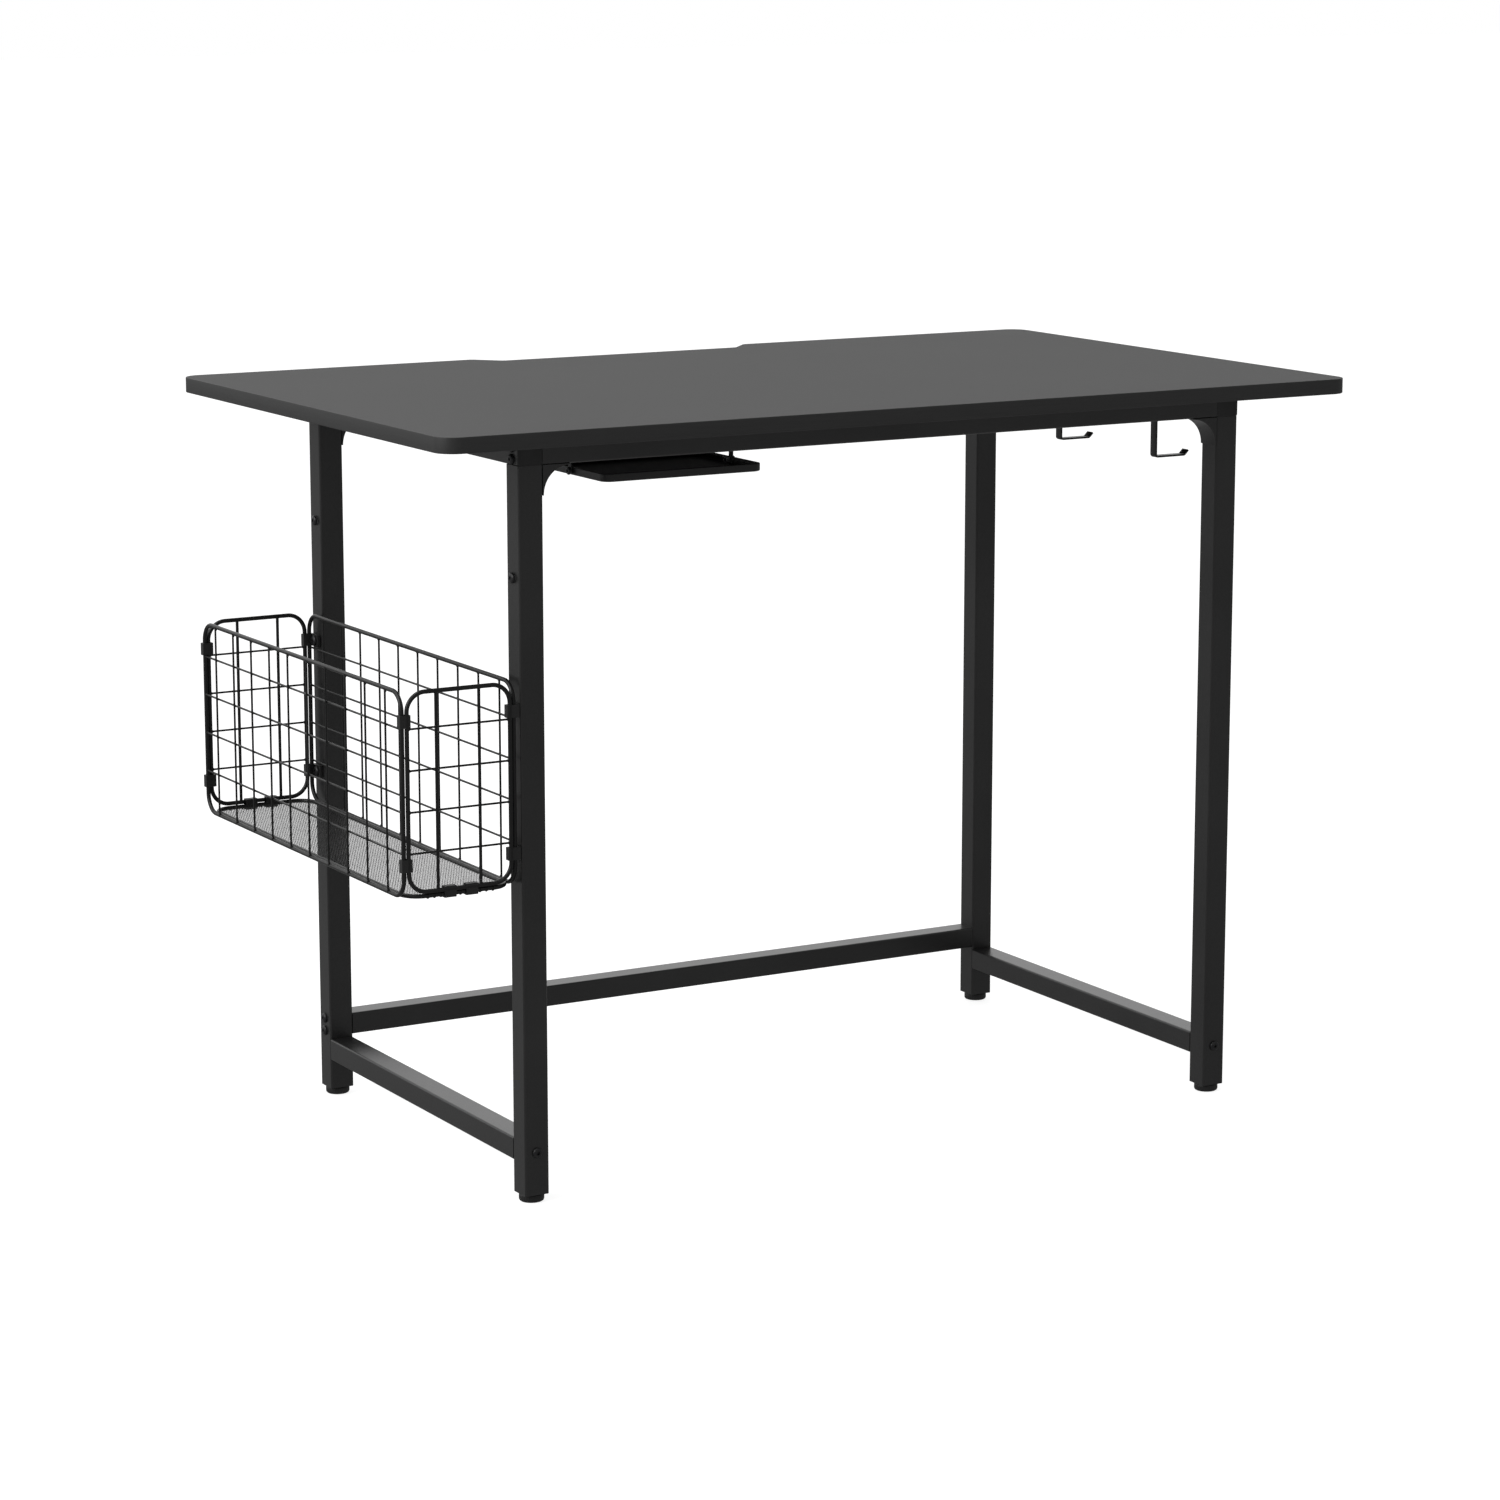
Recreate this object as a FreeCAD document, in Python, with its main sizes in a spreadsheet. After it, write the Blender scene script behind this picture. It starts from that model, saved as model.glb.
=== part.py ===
"""Computer desk: steel tube frame, laminated board, wire side basket, tilting accessory tray, two hooks.

Frame of the model: millimetres, +X to the right, +Y away from the user, +Z up.
The origin lies on the floor, under the centre of the whole object's box.
Every size is an expression on the cells of the sheet "size".
"""
import FreeCAD, Part
import math
import os
import Sketcher

# ---------------------------------------------------------------- driving sizes

SIZES = [
    ("board_width", 1000),
    ("board_depth", 600),
    ("board_thick", 15),
    ("board_corner", 20),
    ("board_top", 730),
    ("band_thick", 1),
    ("notch_shift", -14),
    ("notch_mouth", 324),
    ("notch_floor", 276),
    ("notch_depth", 26),
    ("notch_round", 10),
    ("frame_width", 800),
    ("frame_depth", 460),
    ("front_setback", 52),
    ("tube_width", 25),
    ("tube_wall", 1.2),
    ("tube_round", 2),
    ("rail_height", 22),
    ("foot_height", 7.6),
    ("low_rail_lift", 37.6),
    ("stretcher_lift", 62),
    ("brace_leg", 28),
    ("brace_round", 27),
    ("brace_edge", 0.6),
    ("plug_gap", 0.1),
    ("plug_round", 0.6),
    ("plug_length", 16),
    ("cap_plate", 2),
    ("cap_tongue", 6),
    ("bolt_dia", 5),
    ("bolt_gap", 0.3),
    ("thread_gap", 0.05),
    ("bolt_head", 10),
    ("bolt_head_height", 2.8),
    ("bolt_head_rim", 0.3),
    ("bolt_head_crown", 0.66),
    ("hex_key", 3),
    ("hex_deep", 1.6),
    ("corner_bolt_edge", 5.5),
    ("stretcher_bolt_edge", 4.5),
    ("spigot_neck", 13),
    ("spigot_gap", 1),
    ("spigot_deep", 20),
    ("foot_plug_length", 20),
    ("pad_inset", 1),
    ("pad_thick", 7.3),
    ("pad_chamfer", 1.5),
    ("pad_lip", 0.8),
    ("stud_dia", 8),
    ("stud_length", 34),
    ("stud_seat", 3),
    ("screw_dia", 4),
    ("screw_head", 8),
    ("screw_head_height", 2.2),
    ("screw_head_rim", 0.5),
    ("screw_head_crown", 0.7),
    ("screw_length", 13),
    ("screw_tip", 3),
    ("screw_point", 0.6),
    ("pilot_spare", 0.2),
    ("screw_access", 10),
    ("side_screw_reach", 150),
    ("front_screw_reach", 200),
    ("small_screw_dia", 3.5),
    ("small_screw_head", 6.6),
    ("small_screw_head_height", 1.9),
    ("hook_spread", 86.5),
    ("hook_width", 10),
    ("hook_thick", 2),
    ("hook_drop", 78),
    ("hook_arm", 36.7),
    ("hook_tip", 7),
    ("hook_bend", 1.5),
    ("hook_lean", 45),
    ("hook_top_gap", 1),
    ("hook_screw_pitch", 10),
    ("hook_screw_length", 8),
    ("tray_width", 170),
    ("tray_depth", 130),
    ("tray_height", 7.6),
    ("tray_wall", 1.5),
    ("tray_floor", 1.2),
    ("tray_round", 10),
    ("tray_shift", -209.5),
    ("tray_setback", 85),
    ("tray_drop", 47.3),
    ("pivot_lift", 4.1),
    ("pivot_dia", 3.5),
    ("pivot_head", 7.5),
    ("pivot_head_height", 2.2),
    ("pivot_block_wide", 7),
    ("pivot_block_tall", 5.2),
    ("pivot_block_deep", 3.5),
    ("hanger_gap", 0.4),
    ("hanger_thick", 2),
    ("hanger_width", 6),
    ("hanger_toe", 2.6),
    ("hanger_flange", 20),
    ("hanger_flange_width", 14),
    ("hanger_screw_first", 6.5),
    ("hanger_screw_pitch", 8),
    ("basket_gap", 5.5),
    ("basket_width", 112.5),
    ("basket_length", 452),
    ("basket_top", 495),
    ("basket_base", 306),
    ("rim_wire", 4.2),
    ("grid_wire", 2),
    ("end_wire", 3),
    ("wire_gap", 0.1),
    ("rim_round", 18),
    ("grid_pitch_across", 43.3),
    ("grid_pitch_up", 38.4),
    ("grid_first_down", 33.2),
    ("grid_set_down", 0.4),
    ("mesh_thick", 1),
    ("clip_half", 3.2),
    ("clip_height", 12),
    ("clip_slot_gap", 0.05),
    ("tie_reach", 11),
    ("tab_thick", 3),
    ("tab_reach", 7),
    ("hole_spare", 590),
    ("hole_upper", 469),
    ("hole_lower", 336),
    ("rivet_body", 7),
    ("rivet_flange", 9),
    ("rivet_flange_thick", 0.6),
    ("rivet_length", 12),
    ("basket_bolt_length", 14),
]

LONG_PANEL_BARS = 10
END_PANEL_BARS = 2
LEVEL_WIRES = 4

doc = FreeCAD.newDocument("computer_desk")
sheet = doc.addObject("Spreadsheet::Sheet", "size")
for row, (alias, number) in enumerate(SIZES, start=1):
    sheet.set(f"A{row}", alias.replace("_", " "))
    sheet.set(f"B{row}", str(number))
    sheet.setAlias(f"B{row}", alias)
doc.recompute()

# ---------------------------------------------------------------- places worked out from the sizes

# Left and right are measured from the board's centre, which stands off the origin because the
# basket reaches past the board on the left.
BASKET_INNER = "(size.frame_width / 2 + size.basket_gap)"
BASKET_OUTER = f"({BASKET_INNER} + size.basket_width)"
BASKET_REACH = f"({BASKET_OUTER} + size.clip_half)"
BOARD_X = f"((max({BASKET_REACH}; size.board_width / 2) - size.board_width / 2) / 2)"

FRAME_FRONT = "(size.front_setback - size.board_depth / 2)"
FRAME_REAR = f"({FRAME_FRONT} + size.frame_depth)"
FRAME_Y = f"({FRAME_FRONT} + size.frame_depth / 2)"
LEG_REACH_X = "((size.frame_width - size.tube_width) / 2)"
LEG_REACH_Y = "((size.frame_depth - size.tube_width) / 2)"

BOARD_UNDER = "(size.board_top - size.board_thick)"
RAIL_UNDER = f"({BOARD_UNDER} - size.rail_height)"
RAIL_Z = f"({BOARD_UNDER} - size.rail_height / 2)"
LEG_LENGTH = f"({RAIL_UNDER} - size.foot_height)"
LOW_RAIL_Z = "(size.low_rail_lift + size.rail_height / 2)"
STRETCHER_Z = "(size.stretcher_lift + size.rail_height / 2)"
INNER_TUBE = "(size.tube_width - 2 * size.tube_wall)"
INNER_RAIL = "(size.rail_height - 2 * size.tube_wall)"
CORNER_PITCH = "(size.rail_height - 2 * size.corner_bolt_edge)"
STRETCHER_PITCH = "(size.rail_height - 2 * size.stretcher_bolt_edge)"

# The wires of two neighbouring basket panels lie side by side.
WIRE_STEP = "(size.rim_wire + size.wire_gap)"
WIRE_SLOT = "(size.rim_wire + 2 * size.clip_slot_gap)"
END_LEFT = f"({BASKET_OUTER} - {WIRE_STEP})"
END_RIGHT = f"({BASKET_INNER} + {WIRE_STEP})"
BASKET_X = f"(({BASKET_INNER} + {BASKET_OUTER}) / 2)"
HALF_LENGTH = "(size.basket_length / 2)"
END_BOTTOM = f"(size.basket_base + {WIRE_STEP})"

TRAY_X = f"({BOARD_X} + size.tray_shift)"
TRAY_Y = "(size.tray_setback - size.board_depth / 2 + size.tray_depth / 2)"
TRAY_BOTTOM = f"({BOARD_UNDER} - size.tray_drop)"
PIVOT_Z = f"({TRAY_BOTTOM} + size.pivot_lift)"

SIDES = (("left", -1), ("right", 1))
ENDS = (("front", -1), ("rear", 1))

# Turns that carry a piece's own +Z to the named direction.
UP = FreeCAD.Rotation()
TO_PLUS_X = FreeCAD.Rotation(FreeCAD.Vector(0, 1, 0), 90)
TO_MINUS_X = FreeCAD.Rotation(FreeCAD.Vector(0, 1, 0), -90)
TO_PLUS_Y = FreeCAD.Rotation(FreeCAD.Vector(1, 0, 0), -90)
TO_MINUS_Y = FreeCAD.Rotation(FreeCAD.Vector(1, 0, 0), 90)
DOWN = FreeCAD.Rotation(FreeCAD.Vector(1, 0, 0), 180)
HALF_TURN = FreeCAD.Rotation(FreeCAD.Vector(0, 0, 1), 180)

nodes = []


# ---------------------------------------------------------------- helpers

def number(expression):
    """The present value of an expression on the sheet."""
    return float(sheet.evalExpression(str(expression)))


def bind(thing, **expressions):
    """Tie properties of an object to expressions on the sheet."""
    for prop, expression in expressions.items():
        thing.setExpression(prop, str(expression))


def place(thing, x="0", y="0", z="0", turn=UP):
    """Give an object its turn, and tie its position to expressions."""
    thing.Placement = FreeCAD.Placement(FreeCAD.Vector(0, 0, 0), turn)
    for axis, expression in (("x", x), ("y", y), ("z", z)):
        thing.setExpression(f"Placement.Base.{axis}", str(expression))


def keep(thing, name):
    """Mark an object as a sub-part: its label names its file."""
    thing.Label = name
    nodes.append(thing)
    return thing


def new_body(name):
    return doc.addObject("PartDesign::Body", f"{name}_body")


def new_sketch(body, name, role, offset=None):
    """A sketch on one of the body's own origin planes, lifted by an expression along its normal."""
    sketch = body.newObject("Sketcher::SketchObject", name)
    plane = [item for item in body.Origin.OriginFeatures if item.Role == role][0]
    sketch.AttachmentSupport = [(plane, "")]
    sketch.MapMode = "FlatFace"
    if offset is not None:
        sketch.setExpression("AttachmentOffset.Base.z", str(offset))
    return sketch


def dimension(sketch, kind, expression, *elements):
    """A driving dimension tied to the sheet."""
    index = sketch.addConstraint(Sketcher.Constraint(kind, *elements, number(expression)))
    name = f"size_{index}"
    sketch.renameConstraint(index, name)
    sketch.setExpression(f"Constraints.{name}", str(expression))


def circle(sketch, u, v, diameter):
    """A circle whose centre and diameter follow the sheet."""
    centre = FreeCAD.Vector(number(u), number(v), 0)
    shape = Part.Circle(centre, FreeCAD.Vector(0, 0, 1), number(diameter) / 2)
    index = sketch.addGeometry(shape)
    dimension(sketch, "Diameter", diameter, index)
    dimension(sketch, "DistanceX", u, -1, 1, index, 3)
    dimension(sketch, "DistanceY", v, -1, 1, index, 3)


def polygon(sketch, corners):
    """A closed outline through corners (u, v, radius), with an arc wherever a radius is given.

    Each corner is a construction point tied to the sheet. The sides run through the points, and
    an arc is tangent to the two sides that it joins.
    """
    count = len(corners)
    spots = [FreeCAD.Vector(number(u), number(v), 0) for u, v, _ in corners]
    radii = [0.0 if radius is None else number(radius) for _, _, radius in corners]
    ahead = [(spots[(i + 1) % count] - spots[i]).normalize() for i in range(count)]
    trims = []
    for i in range(count):
        turn = ahead[i - 1].getAngle(ahead[i])
        trims.append(radii[i] * math.tan(turn / 2))
    points = []
    for (u, v, _), spot in zip(corners, spots):
        index = sketch.addGeometry(Part.Point(spot), True)
        dimension(sketch, "DistanceX", u, -1, 1, index, 1)
        dimension(sketch, "DistanceY", v, -1, 1, index, 1)
        points.append(index)
    sides = []
    for i in range(count):
        start = spots[i] + ahead[i] * trims[i]
        end = spots[(i + 1) % count] - ahead[i] * trims[(i + 1) % count]
        sides.append(sketch.addGeometry(Part.LineSegment(start, end)))
    for i, (u, v, radius) in enumerate(corners):
        before, after = sides[i - 1], sides[i]
        if radius is None:
            sketch.addConstraint(Sketcher.Constraint("Coincident", before, 2, points[i], 1))
            sketch.addConstraint(Sketcher.Constraint("Coincident", after, 1, points[i], 1))
            continue
        sketch.addConstraint(Sketcher.Constraint("PointOnObject", points[i], 1, before))
        sketch.addConstraint(Sketcher.Constraint("PointOnObject", points[i], 1, after))
        left_turn = ahead[i - 1].cross(ahead[i]).z > 0
        inward = FreeCAD.Vector(-ahead[i].y, ahead[i].x, 0) * (1 if left_turn else -1)
        first = spots[i] - ahead[i - 1] * trims[i]
        last = spots[i] + ahead[i] * trims[i]
        centre = last + inward * radii[i]
        middle = centre + (spots[i] - centre).normalize() * radii[i]
        arc = sketch.addGeometry(Part.Arc(first, middle, last))
        first_end, last_end = (1, 2) if left_turn else (2, 1)
        sketch.addConstraint(Sketcher.Constraint("Tangent", before, 2, arc, first_end))
        sketch.addConstraint(Sketcher.Constraint("Tangent", arc, last_end, after, 1))
        dimension(sketch, "Radius", radius, arc)


def rectangle(sketch, width, height, radius=None, u="0", v="0"):
    """A rectangle about the point (u, v), with rounded corners where a radius is given."""
    polygon(sketch, [
        (f"{u} - {width} / 2", f"{v} - {height} / 2", radius),
        (f"{u} + {width} / 2", f"{v} - {height} / 2", radius),
        (f"{u} + {width} / 2", f"{v} + {height} / 2", radius),
        (f"{u} - {width} / 2", f"{v} + {height} / 2", radius),
    ])


def pad(body, sketch, length, midplane=False):
    feature = body.newObject("PartDesign::Pad", f"{sketch.Name}_pad")
    feature.Profile = sketch
    feature.Midplane = midplane
    bind(feature, Length=length)
    doc.recompute()
    return feature


def pocket(body, sketch, length=None, towards_normal=False, both_ways=False):
    """Cut the sketch out of the body, and make sure that the cut removed something.

    Without a length the cut goes right through, from the sketch's plane onwards.
    """
    volume_before = body.Shape.Volume
    feature = body.newObject("PartDesign::Pocket", f"{sketch.Name}_pocket")
    feature.Profile = sketch
    feature.Reversed = towards_normal
    if length is None:
        feature.Type = "ThroughAll"
        feature.Midplane = both_ways
    else:
        bind(feature, Length=length)
    doc.recompute()
    if not body.Shape.Volume < volume_before - 1e-3:
        raise RuntimeError(f"{sketch.Name} cut nothing")
    return feature


def revolve(body, sketch):
    """Turn a sketch on the XZ plane a full turn about the body's own Z axis."""
    feature = body.newObject("PartDesign::Revolution", f"{sketch.Name}_revolution")
    feature.Profile = sketch
    feature.ReferenceAxis = (sketch, ["V_Axis"])
    feature.Angle = 360
    doc.recompute()
    return feature


def copies(name, source, spots):
    """One node made of equal solids: copies of a source body at (x, y, z, turn)."""
    links = []
    for index, (x, y, z, turn) in enumerate(spots):
        link = doc.addObject("App::Link", f"{name}_{index + 1}")
        link.LinkedObject = source
        place(link, x, y, z, turn)
        links.append(link)
    group = doc.addObject("Part::Compound", f"{name}_group")
    group.Links = links
    doc.recompute()
    return keep(group, name)


def cylinder(name, diameter, height, x, y, z, turn=UP):
    """A round bar from (x, y, z) along the direction that the turn gives its Z axis."""
    bar = doc.addObject("Part::Cylinder", name)
    bind(bar, Radius=f"({diameter}) / 2", Height=height)
    place(bar, x, y, z, turn)
    return bar


def fuse(name, shapes):
    joined = doc.addObject("Part::MultiFuse", name)
    joined.Shapes = shapes
    doc.recompute()
    return joined


# ---------------------------------------------------------------- desk board

def board_outline():
    """The board's outer edge: rounded corners, and a cable notch with sloping ends at the rear."""
    sketch = doc.addObject("Sketcher::SketchObject", "board_outline")
    half, rear = "size.board_width / 2", "size.board_depth / 2"
    mouth, floor = "size.notch_mouth / 2", "size.notch_floor / 2"
    polygon(sketch, [
        (f"-{half}", f"-{rear}", "size.board_corner"),
        (half, f"-{rear}", "size.board_corner"),
        (half, rear, "size.board_corner"),
        (f"size.notch_shift + {mouth}", rear, "size.notch_round"),
        (f"size.notch_shift + {floor}", f"{rear} - size.notch_depth", "size.notch_round"),
        (f"size.notch_shift - {floor}", f"{rear} - size.notch_depth", "size.notch_round"),
        (f"size.notch_shift - {mouth}", rear, "size.notch_round"),
        (f"-{half}", rear, "size.board_corner"),
    ])
    place(sketch, BOARD_X, "0", BOARD_UNDER)
    doc.recompute()
    return sketch


def extrusion(name, profile, height):
    solid = doc.addObject("Part::Extrusion", name)
    solid.Base = profile
    solid.DirMode = "Custom"
    solid.Dir = FreeCAD.Vector(0, 0, 1)
    solid.Solid = True
    bind(solid, LengthFwd=height)
    doc.recompute()
    return solid


def cut(name, base, tool):
    result = doc.addObject("Part::Cut", name)
    result.Base = base
    result.Tool = tool
    doc.recompute()
    return result


def desk_screw_spots():
    """Where the long wood screws go up through the four top rails: (x, y) from the board's centre."""
    spots = []
    for _, side in SIDES:
        for _, end in ENDS:
            spots.append((f"{BOARD_X} + ({side}) * {LEG_REACH_X}",
                          f"{FRAME_Y} + ({end}) * size.side_screw_reach"))
            spots.append((f"{BOARD_X} + ({side}) * size.front_screw_reach",
                          f"{FRAME_Y} + ({end}) * {LEG_REACH_Y}"))
    return spots


def hanger_screw_spots():
    """Where the hangers' short wood screws go up into the board."""
    spots = []
    for _, side in SIDES:
        strap = f"({TRAY_X} + ({side}) * (size.tray_width / 2 + size.hanger_gap))"
        for step in (0, 1):
            reach = f"(size.hanger_screw_first + {step} * size.hanger_screw_pitch)"
            spots.append((f"{strap} + ({side}) * {reach}", TRAY_Y))
    return spots


def make_board():
    outline = board_outline()
    full = extrusion("board_full", outline, "size.board_thick")
    inset = doc.addObject("Part::Offset2D", "core_outline")
    inset.Source = outline
    inset.Value = -1
    bind(inset, Value="-size.band_thick")
    doc.recompute()
    core = extrusion("board_core", inset, "size.board_thick")
    keep(cut("edge_band", full, core), "desktop_edge_band")
    pilots = []
    for index, (x, y) in enumerate(desk_screw_spots()):
        pilots.append(cylinder(f"rail_pilot_{index}", "size.screw_dia + 2 * size.thread_gap",
                               "size.screw_length - size.tube_wall + size.pilot_spare", x, y, BOARD_UNDER))
    for index, (x, y) in enumerate(hanger_screw_spots()):
        pilots.append(cylinder(f"hanger_pilot_{index}", "size.small_screw_dia + 2 * size.thread_gap",
                               "size.screw_length - size.hanger_thick + size.pilot_spare", x, y, BOARD_UNDER))
    keep(cut("board_drilled", core, fuse("board_pilots", pilots)), "desktop_board")


# ---------------------------------------------------------------- frame tubes

def make_tube(name, width, height, length, x, y, z, turn):
    """A square or flat tube along its own Z axis, starting at (x, y, z)."""
    body = new_body(name)
    outer = new_sketch(body, f"{name}_outside", "XY_Plane")
    rectangle(outer, width, height, "size.tube_round")
    pad(body, outer, length)
    inner = new_sketch(body, f"{name}_inside", "XY_Plane")
    rectangle(inner, f"({width} - 2 * size.tube_wall)", f"({height} - 2 * size.tube_wall)",
              "size.tube_round - size.tube_wall")
    pocket(body, inner, towards_normal=True)
    place(body, x, y, z, turn)
    return keep(body, name)


def drill(body, name, role, spots, diameter, **how):
    """Round holes at (u, v) on one of the tube's middle planes."""
    sketch = new_sketch(body, name, role)
    for u, v in spots:
        circle(sketch, u, v, diameter)
    pocket(body, sketch, **how)


BOLT_HOLE = "size.bolt_dia + 2 * size.bolt_gap"


def make_legs():
    for end_name, end in ENDS:
        for side_name, side in SIDES:
            name = f"leg_{end_name}_{side_name}"
            body = make_tube(name, "size.tube_width", "size.tube_width", LEG_LENGTH,
                             f"{BOARD_X} + ({side}) * {LEG_REACH_X}",
                             f"{FRAME_Y} + ({end}) * {LEG_REACH_Y}", "size.foot_height", UP)
            drill(body, f"{name}_rail_bolt", "XZ_Plane",
                  [("0", f"{LOW_RAIL_Z} - size.foot_height")], BOLT_HOLE, both_ways=True)
            if end_name == "rear":
                heights = [f"{STRETCHER_Z} - size.foot_height + ({way}) * {STRETCHER_PITCH} / 2"
                           for way in (-1, 1)]
                drill(body, f"{name}_stretcher_bolts", "YZ_Plane",
                      [("0", height) for height in heights], BOLT_HOLE, both_ways=True)
            if side_name == "left":
                heights = [f"size.{hole} - size.foot_height"
                           for hole in ("hole_spare", "hole_upper", "hole_lower")]
                drill(body, f"{name}_rivet_nut_holes", "YZ_Plane",
                      [("0", height) for height in heights],
                      "size.rivet_body + 2 * size.plug_gap")


def make_top_side_rails():
    """The side rails lie on the legs and run the frame's full depth, less their end caps."""
    length = "(size.frame_depth - 2 * size.cap_plate)"
    half_pitch = f"{CORNER_PITCH} / 2"
    for side_name, side in SIDES:
        name = f"top_side_rail_{side_name}"
        body = make_tube(name, "size.tube_width", "size.rail_height", length,
                         f"{BOARD_X} + ({side}) * {LEG_REACH_X}",
                         f"{FRAME_FRONT} + size.cap_plate", RAIL_Z, TO_PLUS_Y)
        bolts = []
        for _, end in ENDS:
            along = f"{length} / 2 + ({end}) * {LEG_REACH_Y}"
            bolts += [(f"-({half_pitch})", along), (half_pitch, along)]
        drill(body, f"{name}_corner_bolts", "YZ_Plane", bolts, BOLT_HOLE, both_ways=True)
        slots = new_sketch(body, f"{name}_spigot_slots", "XZ_Plane")
        for _, end in ENDS:
            rectangle(slots, "(size.spigot_neck + 2 * size.spigot_gap)",
                      "(size.spigot_neck + 2 * size.spigot_gap)",
                      v=f"({length} / 2 + ({end}) * {LEG_REACH_Y})")
        pocket(body, slots)
        screws = [("0", f"{length} / 2 + ({end}) * size.side_screw_reach") for _, end in ENDS]
        drill(body, f"{name}_screw_access", "XZ_Plane", screws, "size.screw_access")
        drill(body, f"{name}_screw_holes", "XZ_Plane", screws,
              "size.screw_dia + 2 * size.bolt_gap", towards_normal=True)
        if side_name == "right":
            hooks = []
            for _, end in ENDS:
                along = f"{length} / 2 + ({end}) * size.hook_spread"
                hooks += [("-size.hook_screw_pitch / 2", along), ("size.hook_screw_pitch / 2", along)]
            drill(body, f"{name}_hook_holes", "YZ_Plane", hooks,
                  "size.small_screw_dia + 2 * size.thread_gap", towards_normal=True)


def make_top_cross_rails():
    """The front and rear rails run between the side rails."""
    length = "(size.frame_width - 2 * size.tube_width)"
    for end_name, end in ENDS:
        name = f"top_rail_{end_name}"
        body = make_tube(name, "size.rail_height", "size.tube_width", length,
                         f"{BOARD_X} - {length} / 2",
                         f"{FRAME_Y} + ({end}) * {LEG_REACH_Y}", RAIL_Z, TO_PLUS_X)
        screws = [("0", f"{length} / 2 + ({side}) * size.front_screw_reach") for _, side in SIDES]
        drill(body, f"{name}_screw_access", "YZ_Plane", screws, "size.screw_access",
              towards_normal=True)
        drill(body, f"{name}_screw_holes", "YZ_Plane", screws, "size.screw_dia + 2 * size.bolt_gap")


def make_low_rails():
    for side_name, side in SIDES:
        make_tube(f"low_side_rail_{side_name}", "size.tube_width", "size.rail_height",
                  "(size.frame_depth - 2 * size.tube_width)",
                  f"{BOARD_X} + ({side}) * {LEG_REACH_X}",
                  f"{FRAME_FRONT} + size.tube_width", LOW_RAIL_Z, TO_PLUS_Y)
    length = "(size.frame_width - 2 * size.tube_width)"
    make_tube("rear_stretcher", "size.rail_height", "size.tube_width", length,
              f"{BOARD_X} - {length} / 2", f"{FRAME_Y} + {LEG_REACH_Y}", STRETCHER_Z, TO_PLUS_X)


def make_braces():
    """Corner braces with a hollow quarter-round edge, between each leg and its cross rail."""
    for end_name, end in ENDS:
        for side_name, side in SIDES:
            name = f"corner_brace_{end_name}_{side_name}"
            body = new_body(name)
            sketch = new_sketch(body, f"{name}_outline", "XZ_Plane")
            polygon(sketch, [
                ("0", "0", None),
                ("0", "-size.brace_leg", None),
                ("size.brace_edge", "-size.brace_leg", None),
                ("size.brace_edge", "-size.brace_edge", "size.brace_round"),
                ("size.brace_leg", "-size.brace_edge", None),
                ("size.brace_leg", "0", None),
            ])
            pad(body, sketch, "size.tube_width", midplane=True)
            inner_face = "(size.frame_width / 2 - size.tube_width)"
            place(body, f"{BOARD_X} + ({side}) * {inner_face}",
                  f"{FRAME_Y} + ({end}) * {LEG_REACH_Y}", RAIL_UNDER,
                  UP if side < 0 else HALF_TURN)
            keep(body, name)


# ---------------------------------------------------------------- inserts, caps and feet

def make_block(name, width, height, length):
    """A source block along its own Z axis, centred on it."""
    body = new_body(name)
    sketch = new_sketch(body, f"{name}_section", "XY_Plane")
    rectangle(sketch, width, height, "size.plug_round")
    pad(body, sketch, length)
    return body


TAPPED_HOLE = "size.bolt_dia + 2 * size.thread_gap"


def make_end_plugs():
    """Threaded inserts inside the rails' ends."""
    wide = f"({INNER_TUBE} - 2 * size.plug_gap)"
    low = f"({INNER_RAIL} - 2 * size.plug_gap)"
    half_length = "(size.frame_width / 2 - size.tube_width)"

    def two_hole_plug(name, pitch):
        source = make_block(f"{name}_source", low, wide, "size.plug_length")
        drill(source, f"{name}_threads", "XY_Plane",
              [(f"-({pitch}) / 2", "0"), (f"({pitch}) / 2", "0")], TAPPED_HOLE,
              towards_normal=True)
        return source

    top_plug = two_hole_plug("top_rail_plug", CORNER_PITCH)
    spots = []
    for _, end in ENDS:
        y = f"{FRAME_Y} + ({end}) * {LEG_REACH_Y}"
        spots.append((f"{BOARD_X} - {half_length}", y, RAIL_Z, TO_PLUS_X))
        spots.append((f"{BOARD_X} + {half_length}", y, RAIL_Z, TO_MINUS_X))
    copies("top_rail_end_plugs", top_plug, spots)

    low_plug = two_hole_plug("stretcher_plug", STRETCHER_PITCH)
    y = f"{FRAME_Y} + {LEG_REACH_Y}"
    copies("stretcher_end_plugs", low_plug, [
        (f"{BOARD_X} - {half_length}", y, STRETCHER_Z, TO_PLUS_X),
        (f"{BOARD_X} + {half_length}", y, STRETCHER_Z, TO_MINUS_X),
    ])

    rail_plug = make_block("low_rail_plug_source", wide, low, "size.plug_length")
    drill(rail_plug, "low_rail_plug_thread", "XY_Plane", [("0", "0")], TAPPED_HOLE,
          towards_normal=True)
    spots = []
    for _, side in SIDES:
        x = f"{BOARD_X} + ({side}) * {LEG_REACH_X}"
        spots.append((x, f"{FRAME_FRONT} + size.tube_width", LOW_RAIL_Z, TO_PLUS_Y))
        spots.append((x, f"{FRAME_REAR} - size.tube_width", LOW_RAIL_Z, TO_MINUS_Y))
    copies("low_rail_end_plugs", rail_plug, spots)


def leg_spots(z, turn=UP):
    return [(f"{BOARD_X} + ({side}) * {LEG_REACH_X}", f"{FRAME_Y} + ({end}) * {LEG_REACH_Y}", z, turn)
            for _, end in ENDS for _, side in SIDES]


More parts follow.
